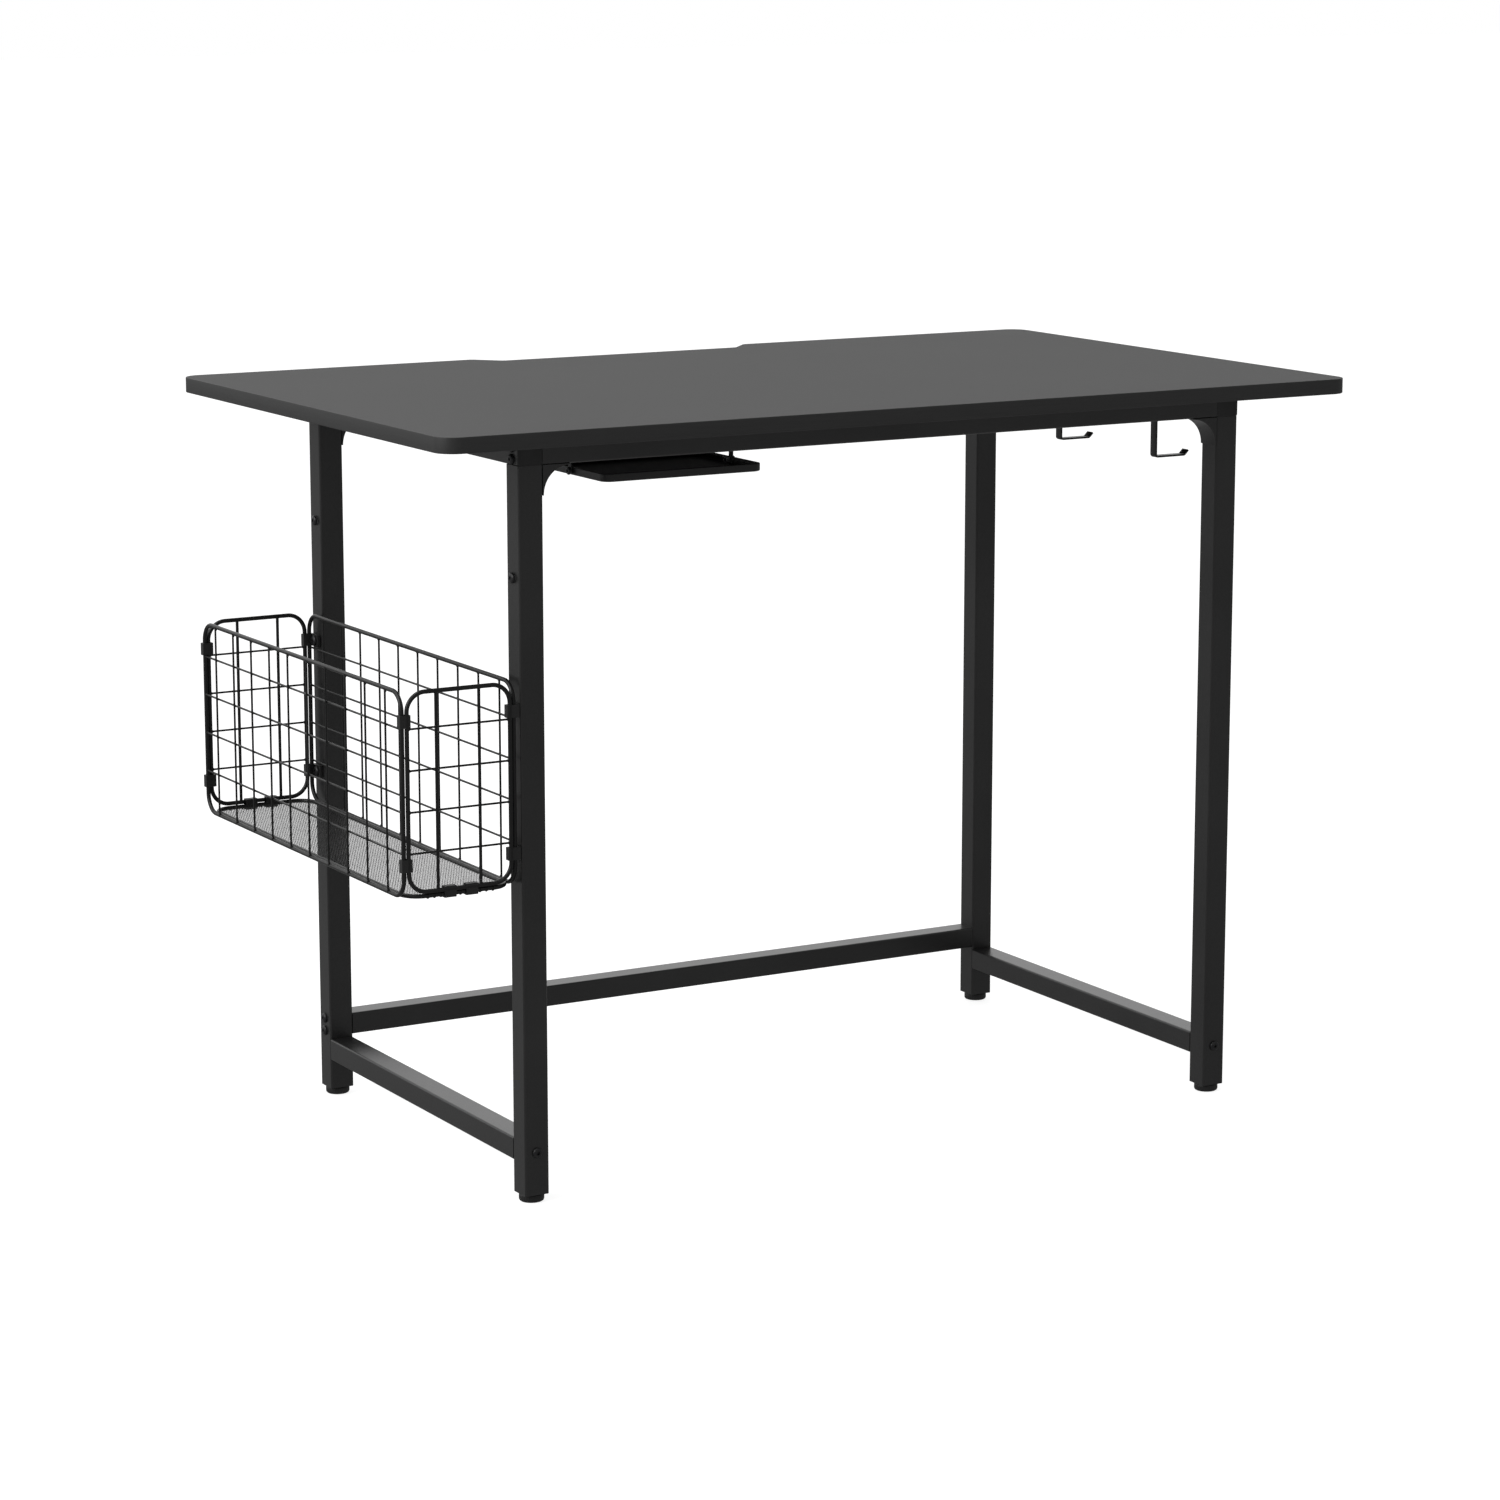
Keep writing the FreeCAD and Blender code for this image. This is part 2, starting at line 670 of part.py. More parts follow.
def make_leg_spigots():
    """A steel block in each leg's top, whose neck stands up into the side rail for the bolts."""
    wide = f"({INNER_TUBE} - 2 * size.plug_gap)"
    source = make_block("spigot_source", wide, wide, "size.spigot_deep")
    neck = new_sketch(source, "spigot_neck_section", "XY_Plane", "size.spigot_deep")
    rectangle(neck, "size.spigot_neck", "size.spigot_neck", "size.plug_round")
    pad(source, neck, f"{INNER_RAIL} + size.tube_wall - 2 * size.plug_gap")
    middle = "(size.spigot_deep + size.rail_height / 2)"
    drill(source, "spigot_bolt_holes", "YZ_Plane",
          [("0", f"{middle} + ({way}) * {CORNER_PITCH} / 2") for way in (-1, 1)],
          TAPPED_HOLE, both_ways=True)
    copies("leg_top_spigots", source, leg_spots(f"{RAIL_UNDER} - size.spigot_deep"))


def make_foot_plugs():
    wide = f"({INNER_TUBE} - 2 * size.plug_gap)"
    source = make_block("foot_plug_source", wide, wide, "size.foot_plug_length")
    drill(source, "foot_plug_thread", "XY_Plane", [("0", "0")],
          "size.stud_dia + 2 * size.thread_gap", towards_normal=True)
    copies("leg_foot_plugs", source, leg_spots("size.foot_height"))


def make_rail_caps():
    """Moulded caps that close the open ends of the side rails, flush with the legs."""
    source = new_body("rail_cap")
    plate = new_sketch(source, "rail_cap_plate", "XY_Plane")
    rectangle(plate, "size.tube_width", "size.rail_height", "size.tube_round")
    pad(source, plate, "size.cap_plate")
    tongue = new_sketch(source, "rail_cap_tongue", "XY_Plane", "size.cap_plate")
    rectangle(tongue, f"({INNER_TUBE} - 2 * size.plug_gap)", f"({INNER_RAIL} - 2 * size.plug_gap)",
              "size.plug_round")
    pad(source, tongue, "size.cap_tongue - size.cap_plate")
    spots = []
    for _, side in SIDES:
        x = f"{BOARD_X} + ({side}) * {LEG_REACH_X}"
        spots.append((x, FRAME_FRONT, RAIL_Z, TO_PLUS_Y))
        spots.append((x, FRAME_REAR, RAIL_Z, TO_MINUS_Y))
    copies("side_rail_end_caps", source, spots)


def make_feet():
    """Levelling feet: a moulded pad on a threaded stud that screws into the leg's foot plug."""
    half = "(size.tube_width - size.pad_inset) / 2"
    bore = "size.stud_dia / 2 + size.thread_gap"
    for end_name, end in ENDS:
        for side_name, side in SIDES:
            where = f"{end_name}_{side_name}"
            x = f"{BOARD_X} + ({side}) * {LEG_REACH_X}"
            y = f"{FRAME_Y} + ({end}) * {LEG_REACH_Y}"
            body = new_body(f"foot_pad_{where}")
            sketch = new_sketch(body, f"foot_pad_{where}_half", "XZ_Plane")
            polygon(sketch, [
                ("0", "0", None),
                (f"{half} - size.pad_chamfer", "0", None),
                (half, "size.pad_chamfer", None),
                (half, "size.pad_thick - size.pad_lip", None),
                (f"{half} - size.pad_lip", "size.pad_thick", None),
                (bore, "size.pad_thick", None),
                (bore, "size.stud_seat", None),
                ("0", "size.stud_seat", None),
            ])
            revolve(body, sketch)
            place(body, x, y, "0")
            keep(body, f"foot_pad_{where}")
            stud = cylinder(f"foot_stud_{where}_bar", "size.stud_dia", "size.stud_length",
                            x, y, "size.stud_seat")
            keep(stud, f"foot_stud_{where}")


# ---------------------------------------------------------------- bolts and screws

def make_bolt(name, diameter, length, head, head_height, key, key_deep):
    """A button-head bolt: the bearing face is at Z = 0, the shank runs down, the head stands up."""
    body = new_body(name)
    sketch = new_sketch(body, f"{name}_half", "XZ_Plane")
    polygon(sketch, [
        ("0", f"-({length})", None),
        (f"({diameter}) / 2", f"-({length})", None),
        (f"({diameter}) / 2", "0", None),
        (f"({head}) / 2", "0", None),
        (f"({head}) / 2", f"size.bolt_head_rim * {head_height}", None),
        (f"size.bolt_head_crown * {head} / 2", head_height, None),
        ("0", head_height, None),
    ])
    revolve(body, sketch)
    socket = new_sketch(body, f"{name}_socket", "XY_Plane", f"{head_height} - {key_deep}")
    radius = f"({key}) / sqrt(3)"
    angles = [30 + 60 * step for step in range(6)]
    polygon(socket, [(f"{radius} * cos({angle} deg)", f"{radius} * sin({angle} deg)", None)
                     for angle in angles])
    pocket(body, socket, towards_normal=True)
    return body


def make_frame_bolts():
    long_bolt = make_bolt("long_bolt", "size.bolt_dia", "size.tube_width + size.plug_length",
                          "size.bolt_head", "size.bolt_head_height", "size.hex_key", "size.hex_deep")
    corner = []
    stretcher = []
    low = []
    for _, side in SIDES:
        face = f"{BOARD_X} + ({side}) * size.frame_width / 2"
        outward = TO_MINUS_X if side < 0 else TO_PLUS_X
        for _, end in ENDS:
            y = f"{FRAME_Y} + ({end}) * {LEG_REACH_Y}"
            for way in (-1, 1):
                corner.append((face, y, f"{RAIL_Z} + ({way}) * {CORNER_PITCH} / 2", outward))
            low.append((f"{BOARD_X} + ({side}) * {LEG_REACH_X}",
                        f"{FRAME_Y} + ({end}) * size.frame_depth / 2", LOW_RAIL_Z,
                        TO_MINUS_Y if end < 0 else TO_PLUS_Y))
        for way in (-1, 1):
            stretcher.append((face, f"{FRAME_Y} + {LEG_REACH_Y}",
                              f"{STRETCHER_Z} + ({way}) * {STRETCHER_PITCH} / 2", outward))
    copies("corner_bolts", long_bolt, corner)
    copies("stretcher_bolts", long_bolt, stretcher)
    copies("low_rail_bolts", long_bolt, low)


def make_screw(name, diameter, length, head, head_height):
    """A pan-head screw with a pointed end, laid out like the bolt."""
    body = new_body(name)
    sketch = new_sketch(body, f"{name}_half", "XZ_Plane")
    polygon(sketch, [
        ("0", f"-({length})", None),
        ("size.screw_point / 2", f"-({length})", None),
        (f"({diameter}) / 2", f"size.screw_tip - ({length})", None),
        (f"({diameter}) / 2", "0", None),
        (f"({head}) / 2", "0", None),
        (f"({head}) / 2", f"size.screw_head_rim * {head_height}", None),
        (f"size.screw_head_crown * {head} / 2", head_height, None),
        ("0", head_height, None),
    ])
    revolve(body, sketch)
    return body


def make_desk_screws():
    screw = make_screw("desk_screw", "size.screw_dia", "size.screw_length",
                       "size.screw_head", "size.screw_head_height")
    seat = f"{BOARD_UNDER} - size.tube_wall"
    copies("desktop_screws", screw, [(x, y, seat, DOWN) for x, y in desk_screw_spots()])


# ---------------------------------------------------------------- hooks

def make_hooks():
    """Two bent straps on the outside of the right side rail, for a headset or a bag."""
    along, across = "cos(size.hook_lean)", "sin(size.hook_lean)"
    inner_corner = "size.hook_thick * tan(size.hook_lean / 2)"
    face = f"{BOARD_X} + size.frame_width / 2"
    top = f"({BOARD_UNDER} - size.hook_top_gap)"
    screws = []
    screw_depth = f"({top} - {RAIL_Z})"
    for end_name, end in ENDS:
        name = f"headset_hook_{end_name}"
        body = new_body(name)
        sketch = new_sketch(body, f"{name}_strip", "XZ_Plane")
        polygon(sketch, [
            ("0", "0", None),
            ("0", "-size.hook_drop", "size.hook_bend + size.hook_thick"),
            ("size.hook_arm", "-size.hook_drop", "size.hook_bend + size.hook_thick"),
            (f"size.hook_arm + size.hook_tip * {along}",
             f"size.hook_tip * {across} - size.hook_drop", None),
            (f"size.hook_arm + size.hook_tip * {along} - size.hook_thick * {across}",
             f"size.hook_tip * {across} + size.hook_thick * {along} - size.hook_drop", None),
            (f"size.hook_arm - {inner_corner}", "size.hook_thick - size.hook_drop", "size.hook_bend"),
            ("size.hook_thick", "size.hook_thick - size.hook_drop", "size.hook_bend"),
            ("size.hook_thick", "0", None),
        ])
        pad(body, sketch, "size.hook_width", midplane=True)
        drill(body, f"{name}_holes", "YZ_Plane",
              [("0", f"({way}) * size.hook_screw_pitch / 2 - {screw_depth}") for way in (-1, 1)],
              "size.small_screw_dia + 2 * size.plug_gap", towards_normal=True)
        y = f"{FRAME_Y} + ({end}) * size.hook_spread"
        place(body, face, y, top)
        keep(body, name)
        for way in (-1, 1):
            screws.append((f"{face} + size.hook_thick", y,
                           f"{RAIL_Z} + ({way}) * size.hook_screw_pitch / 2", TO_PLUS_X))
    screw = make_screw("hook_screw", "size.small_screw_dia", "size.hook_screw_length",
                       "size.small_screw_head", "size.small_screw_head_height")
    copies("hook_screws", screw, screws)


# ---------------------------------------------------------------- tray

def make_tray():
    body = new_body("tray")
    outside = new_sketch(body, "tray_outside", "XY_Plane")
    rectangle(outside, "size.tray_width", "size.tray_depth", "size.tray_round")
    pad(body, outside, "size.tray_height")
    inside = new_sketch(body, "tray_inside", "XY_Plane", "size.tray_floor")
    rectangle(inside, "(size.tray_width - 2 * size.tray_wall)", "(size.tray_depth - 2 * size.tray_wall)",
              "size.tray_round - size.tray_wall")
    pocket(body, inside, towards_normal=True)
    drill(body, "tray_pivot_holes", "YZ_Plane", [("0", "size.pivot_lift")],
          "size.pivot_dia + 2 * size.thread_gap", both_ways=True)
    place(body, TRAY_X, TRAY_Y, TRAY_BOTTOM)
    keep(body, "accessory_tray")


def make_pivots():
    """A pivot screw through each hanger, held by a threaded block inside the tray's wall."""
    reach = "size.hanger_gap + size.hanger_thick + size.hanger_gap / 2"
    length = f"({reach} + size.tray_wall + size.pivot_block_deep)"
    screw = make_bolt("pivot_screw", "size.pivot_dia", length, "size.pivot_head",
                      "size.pivot_head_height", "size.hex_key", "size.hex_deep")
    block = make_block("pivot_block", "size.pivot_block_tall", "size.pivot_block_wide",
                       "size.pivot_block_deep")
    drill(block, "pivot_block_thread", "XY_Plane", [("0", "0")],
          "size.pivot_dia + 2 * size.thread_gap", towards_normal=True)
    screws = []
    blocks = []
    for _, side in SIDES:
        outward = TO_MINUS_X if side < 0 else TO_PLUS_X
        inward = TO_PLUS_X if side < 0 else TO_MINUS_X
        wall = f"{TRAY_X} + ({side}) * size.tray_width / 2"
        screws.append((f"{wall} + ({side}) * ({reach})", TRAY_Y, PIVOT_Z, outward))
        blocks.append((f"{wall} - ({side}) * size.tray_wall", TRAY_Y, PIVOT_Z, inward))
    copies("tray_pivot_screws", screw, screws)
    copies("tray_pivot_nuts", block, blocks)


def make_hangers():
    """Two thin straps with a flange on top, screwed up into the board."""
    drop = f"({BOARD_UNDER} - {PIVOT_Z})"
    below = "size.hanger_width / 2"
    for side_name, side in SIDES:
        name = f"tray_hanger_{side_name}"
        body = new_body(name)
        strap = new_sketch(body, f"{name}_strap", "YZ_Plane")
        polygon(strap, [
            (f"-({below})", f"-{drop} - {below}", "size.hanger_toe"),
            (below, f"-{drop} - {below}", "size.hanger_toe"),
            (below, "0", None),
            (f"-({below})", "0", None),
        ])
        pad(body, strap, "size.hanger_thick")
        flange = new_sketch(body, f"{name}_flange", "XY_Plane", "-size.hanger_thick")
        rectangle(flange, "size.hanger_flange", "size.hanger_flange_width",
                  u="size.hanger_flange / 2")
        pad(body, flange, "size.hanger_thick")
        drill(body, f"{name}_pivot_hole", "YZ_Plane", [("0", f"-{drop}")],
              "size.pivot_dia + 2 * size.thread_gap", towards_normal=True)
        drill(body, f"{name}_screw_holes", "XY_Plane",
              [(f"size.hanger_screw_first + {step} * size.hanger_screw_pitch", "0") for step in (0, 1)],
              "size.small_screw_dia + 2 * size.plug_gap")
        place(body, f"{TRAY_X} + ({side}) * (size.tray_width / 2 + size.hanger_gap)", TRAY_Y,
              BOARD_UNDER, HALF_TURN if side < 0 else UP)
        keep(body, name)
    screw = make_screw("hanger_screw", "size.small_screw_dia", "size.screw_length",
                       "size.small_screw_head", "size.small_screw_head_height")
    seat = f"{BOARD_UNDER} - size.hanger_thick"
    copies("tray_hanger_screws", screw, [(x, y, seat, DOWN) for x, y in hanger_screw_spots()])


# ---------------------------------------------------------------- side basket

def rim(name, width, height):
    """A closed wire of round section bent to a rounded rectangle, in its own XY plane.

    Returns the four straights and the four quarter rings, centred on the origin.
    """
    pieces = []
    straight_x = f"({width} - 2 * size.rim_round)"
    straight_y = f"({height} - 2 * size.rim_round)"
    for index, way in enumerate((-1, 1)):
        pieces.append(cylinder(f"{name}_level_{index}", "size.rim_wire", straight_x,
                               f"-{straight_x} / 2", f"({way}) * {height} / 2", "0", TO_PLUS_X))
        pieces.append(cylinder(f"{name}_upright_{index}", "size.rim_wire", straight_y,
                               f"({way}) * {width} / 2", f"-{straight_y} / 2", "0", TO_PLUS_Y))
    corners = ((1, 1, 0), (-1, 1, 90), (-1, -1, 180), (1, -1, 270))
    for across, along, start in corners:
        ring = doc.addObject("Part::Torus", f"{name}_bend_{start}")
        bind(ring, Radius1="size.rim_round", Radius2="size.rim_wire / 2")
        ring.Angle3 = 90
        place(ring, f"({across}) * {straight_x} / 2", f"({along}) * {straight_y} / 2", "0",
              FreeCAD.Rotation(FreeCAD.Vector(0, 0, 1), start))
        pieces.append(ring)
    return pieces


def make_panel(name, width, bottom, bars, bar_wire, bar_side, x, y, turn):
    """A wire panel: rim, upright bars and level wires, welded where they cross.

    It is drawn with its width along X and its height along Y, then turned upright. The upright
    bars lie on one side of the level wires, pressed in by the set-down.
    """
    height = f"(size.basket_top - {bottom})"
    pieces = rim(name, width, height)
    offset = f"(size.grid_wire + {bar_wire}) / 2 - size.grid_set_down"
    for index in range(bars):
        across = f"{index - (bars - 1) / 2} * size.grid_pitch_across"
        pieces.append(cylinder(f"{name}_bar_{index}", bar_wire, height, across,
                               f"-{height} / 2", f"({bar_side}) * ({offset})", TO_PLUS_Y))
    for index in range(LEVEL_WIRES):
        up = f"{height} / 2 - size.grid_first_down - {index} * size.grid_pitch_up"
        pieces.append(cylinder(f"{name}_wire_{index}", "size.grid_wire", width,
                               f"-{width} / 2", up, "0", TO_PLUS_X))
    panel = fuse(f"{name}_welded", pieces)
    place(panel, x, y, f"({bottom} + size.basket_top) / 2", turn)
    return keep(panel, name)


def make_basket_panels():
    face_x = FreeCAD.Rotation(FreeCAD.Vector(1, 1, 1), 120)
    face_y = FreeCAD.Rotation(FreeCAD.Vector(1, 0, 0), 90)
    end_width = f"({END_LEFT} - {END_RIGHT})"
    make_panel("basket_panel_outer", "size.basket_length", "size.basket_base", LONG_PANEL_BARS,
               "size.grid_wire", -1, f"{BOARD_X} - {BASKET_OUTER}", FRAME_Y, face_x)
    make_panel("basket_panel_inner", "size.basket_length", "size.basket_base", LONG_PANEL_BARS,
               "size.grid_wire", 1, f"{BOARD_X} - {BASKET_INNER}", FRAME_Y, face_x)
    for end_name, end in ENDS:
        make_panel(f"basket_panel_{end_name}", end_width, END_BOTTOM, END_PANEL_BARS,
                   "size.end_wire", -end, f"{BOARD_X} - {BASKET_X}",
                   f"{FRAME_Y} + ({end}) * {HALF_LENGTH}", face_y)


def make_basket_base():
    """A wire ring with a fine mesh sheet inside it; the end panels stand on the ring."""
    width = f"({END_LEFT} - {END_RIGHT})"
    ring = fuse("base_ring_welded", rim("base_ring", width, "size.basket_length"))
    place(ring, f"{BOARD_X} - {BASKET_X}", FRAME_Y, "size.basket_base")
    keep(ring, "basket_base_ring")
    body = new_body("base_mesh")
    sketch = new_sketch(body, "base_mesh_outline", "XY_Plane")
    inset = "(size.rim_wire + 2 * size.wire_gap)"
    rectangle(sketch, f"({width} - {inset})", f"(size.basket_length - {inset})",
              f"size.rim_round - {inset} / 2")
    pad(body, sketch, "size.mesh_thick", midplane=True)
    notches = new_sketch(body, "base_mesh_notches", "XY_Plane")
    for _, end in ENDS:
        for _, side in SIDES:
            rectangle(notches, "(size.clip_height + 2 * size.wire_gap)",
                      "(2 * size.clip_half + 2 * size.wire_gap)",
                      u=f"({side}) * size.tie_reach", v=f"({end}) * {HALF_LENGTH}")
    pocket(body, notches, both_ways=True)
    place(body, f"{BOARD_X} - {BASKET_X}", FRAME_Y, "size.basket_base")
    keep(body, "basket_base_mesh")


def make_clip(name, with_tab):
    """A moulded clip with one slot for two neighbouring uprights, at the long panel's corner.

    The long panel's wire is on the clip's own Z axis, and the end panel's wire lies one wire
    step towards -X. With a tab, the clip also reaches back to the leg and takes a bolt.
    """
    body = new_body(name)
    section = new_sketch(body, f"{name}_section", "XY_Plane")
    back = "(size.basket_gap - size.rivet_flange_thick)" if with_tab else "size.clip_half"
    if with_tab:
        bolt_y = f"({HALF_LENGTH} - {LEG_REACH_Y})"
        polygon(section, [
            (f"-{WIRE_STEP} - size.clip_half", "-size.clip_half", None),
            (back, "-size.clip_half", None),
            (back, f"{bolt_y} + size.tab_reach", None),
            (f"{back} - size.tab_thick", f"{bolt_y} + size.tab_reach", None),
            (f"{back} - size.tab_thick", "size.clip_half", None),
            (f"-{WIRE_STEP} - size.clip_half", "size.clip_half", None),
        ])
    else:
        polygon(section, [
            (f"-{WIRE_STEP} - size.clip_half", "-size.clip_half", None),
            (back, "-size.clip_half", None),
            (back, "size.clip_half", None),
            (f"-{WIRE_STEP} - size.clip_half", "size.clip_half", None),
        ])
    pad(body, section, "size.clip_height", midplane=True)
    slot = new_sketch(body, f"{name}_slot", "XY_Plane")
    rectangle(slot, f"({WIRE_STEP} + {WIRE_SLOT})", WIRE_SLOT, "size.rim_wire / 2",
              u=f"-{WIRE_STEP} / 2")
    pocket(body, slot, both_ways=True)
    if with_tab:
        drill(body, f"{name}_bolt_hole", "YZ_Plane", [(bolt_y, "0")], BOLT_HOLE,
              towards_normal=True)
    return body


def make_basket_clips():
    mount = make_clip("mount_clip", with_tab=True)
    corner = make_clip("corner_clip", with_tab=False)
    flip = FreeCAD.Rotation(FreeCAD.Vector(1, 0, 0), 180)
    mounts = []
    corners = []
    for _, end in ENDS:
        y = f"{FRAME_Y} + ({end}) * {HALF_LENGTH}"
        for hole in ("hole_upper", "hole_lower"):
            mounts.append((f"{BOARD_X} - {BASKET_INNER}", y, f"size.{hole}", UP if end < 0 else flip))
            corners.append((f"{BOARD_X} - {BASKET_OUTER}", y, f"size.{hole}", HALF_TURN))
    copies("basket_mount_clips", mount, mounts)
    copies("basket_corner_clips", corner, corners)


def make_base_ties():
    """Small moulded ties that hold each end panel's bottom wire down on the base ring."""
    tie = new_body("base_tie")
    section = new_sketch(tie, "base_tie_section", "YZ_Plane")
    polygon(section, [
        ("-size.clip_half", "-size.clip_half", None),
        ("size.clip_half", "-size.clip_half", None),
        ("size.clip_half", f"{WIRE_STEP} + size.clip_half", None),
        ("-size.clip_half", f"{WIRE_STEP} + size.clip_half", None),
    ])
    pad(tie, section, "size.clip_height", midplane=True)
    slot = new_sketch(tie, "base_tie_slot", "YZ_Plane")
    rectangle(slot, WIRE_SLOT, f"({WIRE_STEP} + {WIRE_SLOT})", "size.rim_wire / 2",
              v=f"{WIRE_STEP} / 2")
    pocket(tie, slot, both_ways=True)
    copies("basket_base_ties", tie, [
        (f"{BOARD_X} - {BASKET_X} + ({side}) * size.tie_reach",
         f"{FRAME_Y} + ({end}) * {HALF_LENGTH}", "size.basket_base", UP)
        for _, end in ENDS for _, side in SIDES])


def make_rivet_nuts():
    """Threaded rivet nuts in the left legs' outer walls, with the basket's bolts and two spares."""
    nut = new_body("rivet_nut")
    sketch = new_sketch(nut, "rivet_nut_half", "XZ_Plane")
    bore = "size.bolt_dia / 2 + size.thread_gap"
    polygon(sketch, [
        (bore, "-size.rivet_length", None),
        ("size.rivet_body / 2", "-size.rivet_length", None),
        ("size.rivet_body / 2", "0", None),
        ("size.rivet_flange / 2", "0", None),
        ("size.rivet_flange / 2", "size.rivet_flange_thick", None),
        (bore, "size.rivet_flange_thick", None),
    ])
    revolve(nut, sketch)
    bolt = make_bolt("basket_bolt", "size.bolt_dia", "size.basket_bolt_length", "size.bolt_head",
                     "size.bolt_head_height", "size.hex_key", "size.hex_deep")
    face = f"{BOARD_X} - size.frame_width / 2"
    seat = f"{face} - size.rivet_flange_thick"
    nuts = []
    bolts = []
    spares = []
    for _, end in ENDS:
        y = f"{FRAME_Y} + ({end}) * {LEG_REACH_Y}"
        for hole in ("hole_spare", "hole_upper", "hole_lower"):
            nuts.append((face, y, f"size.{hole}", TO_MINUS_X))
        for hole in ("hole_upper", "hole_lower"):
            bolts.append((f"{seat} - size.tab_thick", y, f"size.{hole}", TO_MINUS_X))
        spares.append((seat, y, "size.hole_spare", TO_MINUS_X))
    copies("rivet_nuts", nut, nuts)
    copies("basket_bolts", bolt, bolts)
    copies("spare_hole_bolts", bolt, spares)


# ---------------------------------------------------------------- build, test and write

def test_model():
    """Stop if any object failed, or a sub-part's shape is missing or not valid."""
    doc.recompute()
    for thing in doc.Objects:
        if "Invalid" in thing.State or "Error" in thing.State:
            raise RuntimeError(f"{thing.Name} is in state {thing.State}")
    for node in nodes:
        if node.Shape.isNull() or not node.Shape.isValid() or not node.Shape.Solids:
            raise RuntimeError(f"{node.Label} has no valid solid")


def write_parts():
    os.makedirs("parts", exist_ok=True)
    for node in nodes:
        node.Shape.exportStep(os.path.join("parts", f"{node.Label}.step"))
        print(f"{node.Label}: {len(node.Shape.Solids)} solid(s), {node.Shape.Volume / 1000:.1f} cm3")
    print(len(nodes), "sub-parts")


make_board()
make_legs()
make_top_side_rails()
make_top_cross_rails()
make_low_rails()
make_braces()
make_end_plugs()
make_leg_spigots()
make_foot_plugs()
make_rail_caps()
make_feet()
make_frame_bolts()
make_desk_screws()
make_hooks()
make_tray()
make_pivots()
make_hangers()
make_basket_panels()
make_basket_base()
make_basket_clips()
make_base_ties()
make_rivet_nuts()
test_model()
write_parts()
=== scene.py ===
"""Looks of the computer desk: laminated board, powder-coated tube frame, wire basket, tray and hooks.

Metres, in the frame of the CAD model. Places and sizes come from the boxes of the CAD nodes.
Shapes are surfaces of two parameters, worked out as whole arrays.
"""
import math

import bpy
import numpy as np
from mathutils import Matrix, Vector


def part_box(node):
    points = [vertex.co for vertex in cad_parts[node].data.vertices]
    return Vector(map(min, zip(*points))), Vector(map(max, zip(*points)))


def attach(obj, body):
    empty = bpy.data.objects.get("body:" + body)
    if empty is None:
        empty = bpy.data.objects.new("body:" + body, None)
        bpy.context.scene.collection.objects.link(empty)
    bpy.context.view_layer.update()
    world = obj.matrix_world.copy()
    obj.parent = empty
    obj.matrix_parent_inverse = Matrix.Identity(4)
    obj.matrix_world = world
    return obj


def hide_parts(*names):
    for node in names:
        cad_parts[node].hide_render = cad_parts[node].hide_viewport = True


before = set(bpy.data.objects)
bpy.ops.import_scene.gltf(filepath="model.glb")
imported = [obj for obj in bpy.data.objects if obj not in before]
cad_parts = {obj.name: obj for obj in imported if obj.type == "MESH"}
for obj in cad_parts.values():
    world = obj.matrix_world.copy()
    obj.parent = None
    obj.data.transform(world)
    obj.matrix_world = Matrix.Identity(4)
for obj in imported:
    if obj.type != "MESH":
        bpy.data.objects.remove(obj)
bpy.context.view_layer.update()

MM = 0.001
TURN = 2 * math.pi


# ---------------------------------------------------------------- reading the CAD nodes

def box(node):
    """A node's lowest and highest corner as arrays."""
    low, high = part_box(node)
    return np.array(low), np.array(high)


def middle(node):
    """The middle of a node's box."""
    low, high = box(node)
    return (low + high) / 2


def solids(node):
    """The vertices of each separate solid of a node.

    Each vertex starts with its own label. Along every triangle the labels sink to the lowest
    one, again and again, until nothing changes, so that a solid ends with one label.
    """
    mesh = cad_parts[node].data
    spots = np.empty(len(mesh.vertices) * 3)
    mesh.vertices.foreach_get("co", spots)
    spots = spots.reshape(-1, 3)
    mesh.calc_loop_triangles()
    corners = np.empty(len(mesh.loop_triangles) * 3, dtype=np.int32)
    mesh.loop_triangles.foreach_get("vertices", corners)
    _, same = np.unique(np.round(spots, 6), axis=0, return_inverse=True)
    same = same.ravel()
    triangles = same[corners.reshape(-1, 3)]
    labels = np.arange(same.max() + 1)
    while True:
        lowest = labels[triangles].min(axis=1)
        sunk = labels.copy()
        np.minimum.at(sunk, triangles.ravel(), np.repeat(lowest, 3))
        if np.array_equal(sunk, labels):
            break
        labels = sunk
    of_vertex = labels[same]
    return [spots[of_vertex == label] for label in np.unique(of_vertex)]


# ---------------------------------------------------------------- surfaces

def grid_faces(rows, columns, wrap_rows=False, wrap_columns=True):
    """Quads of a grid of rows x columns points, counted row by row."""
    row = np.arange(rows if wrap_rows else rows - 1)
    column = np.arange(columns if wrap_columns else columns - 1)
    r, c = np.meshgrid(row, column, indexing="ij")
    r2, c2 = (r + 1) % rows, (c + 1) % columns
    return np.stack([r * columns + c, r * columns + c2, r2 * columns + c2, r2 * columns + c],
                    axis=-1).reshape(-1, 4)


def stack(rings, closed=False):
    """A surface through rings of equal length: point (u, v) is point v of ring u.

    An open stack gets a flat face over its first and its last ring.
    """
    rings = np.asarray(rings, dtype=float)
    rows, columns = rings.shape[:2]
    faces = [grid_faces(rows, columns, wrap_rows=closed)]
    if not closed:
        first = np.arange(columns)[::-1]
        last = (rows - 1) * columns + np.arange(columns)
        faces += [first[None, :], last[None, :]]
    return rings.reshape(-1, 3), faces


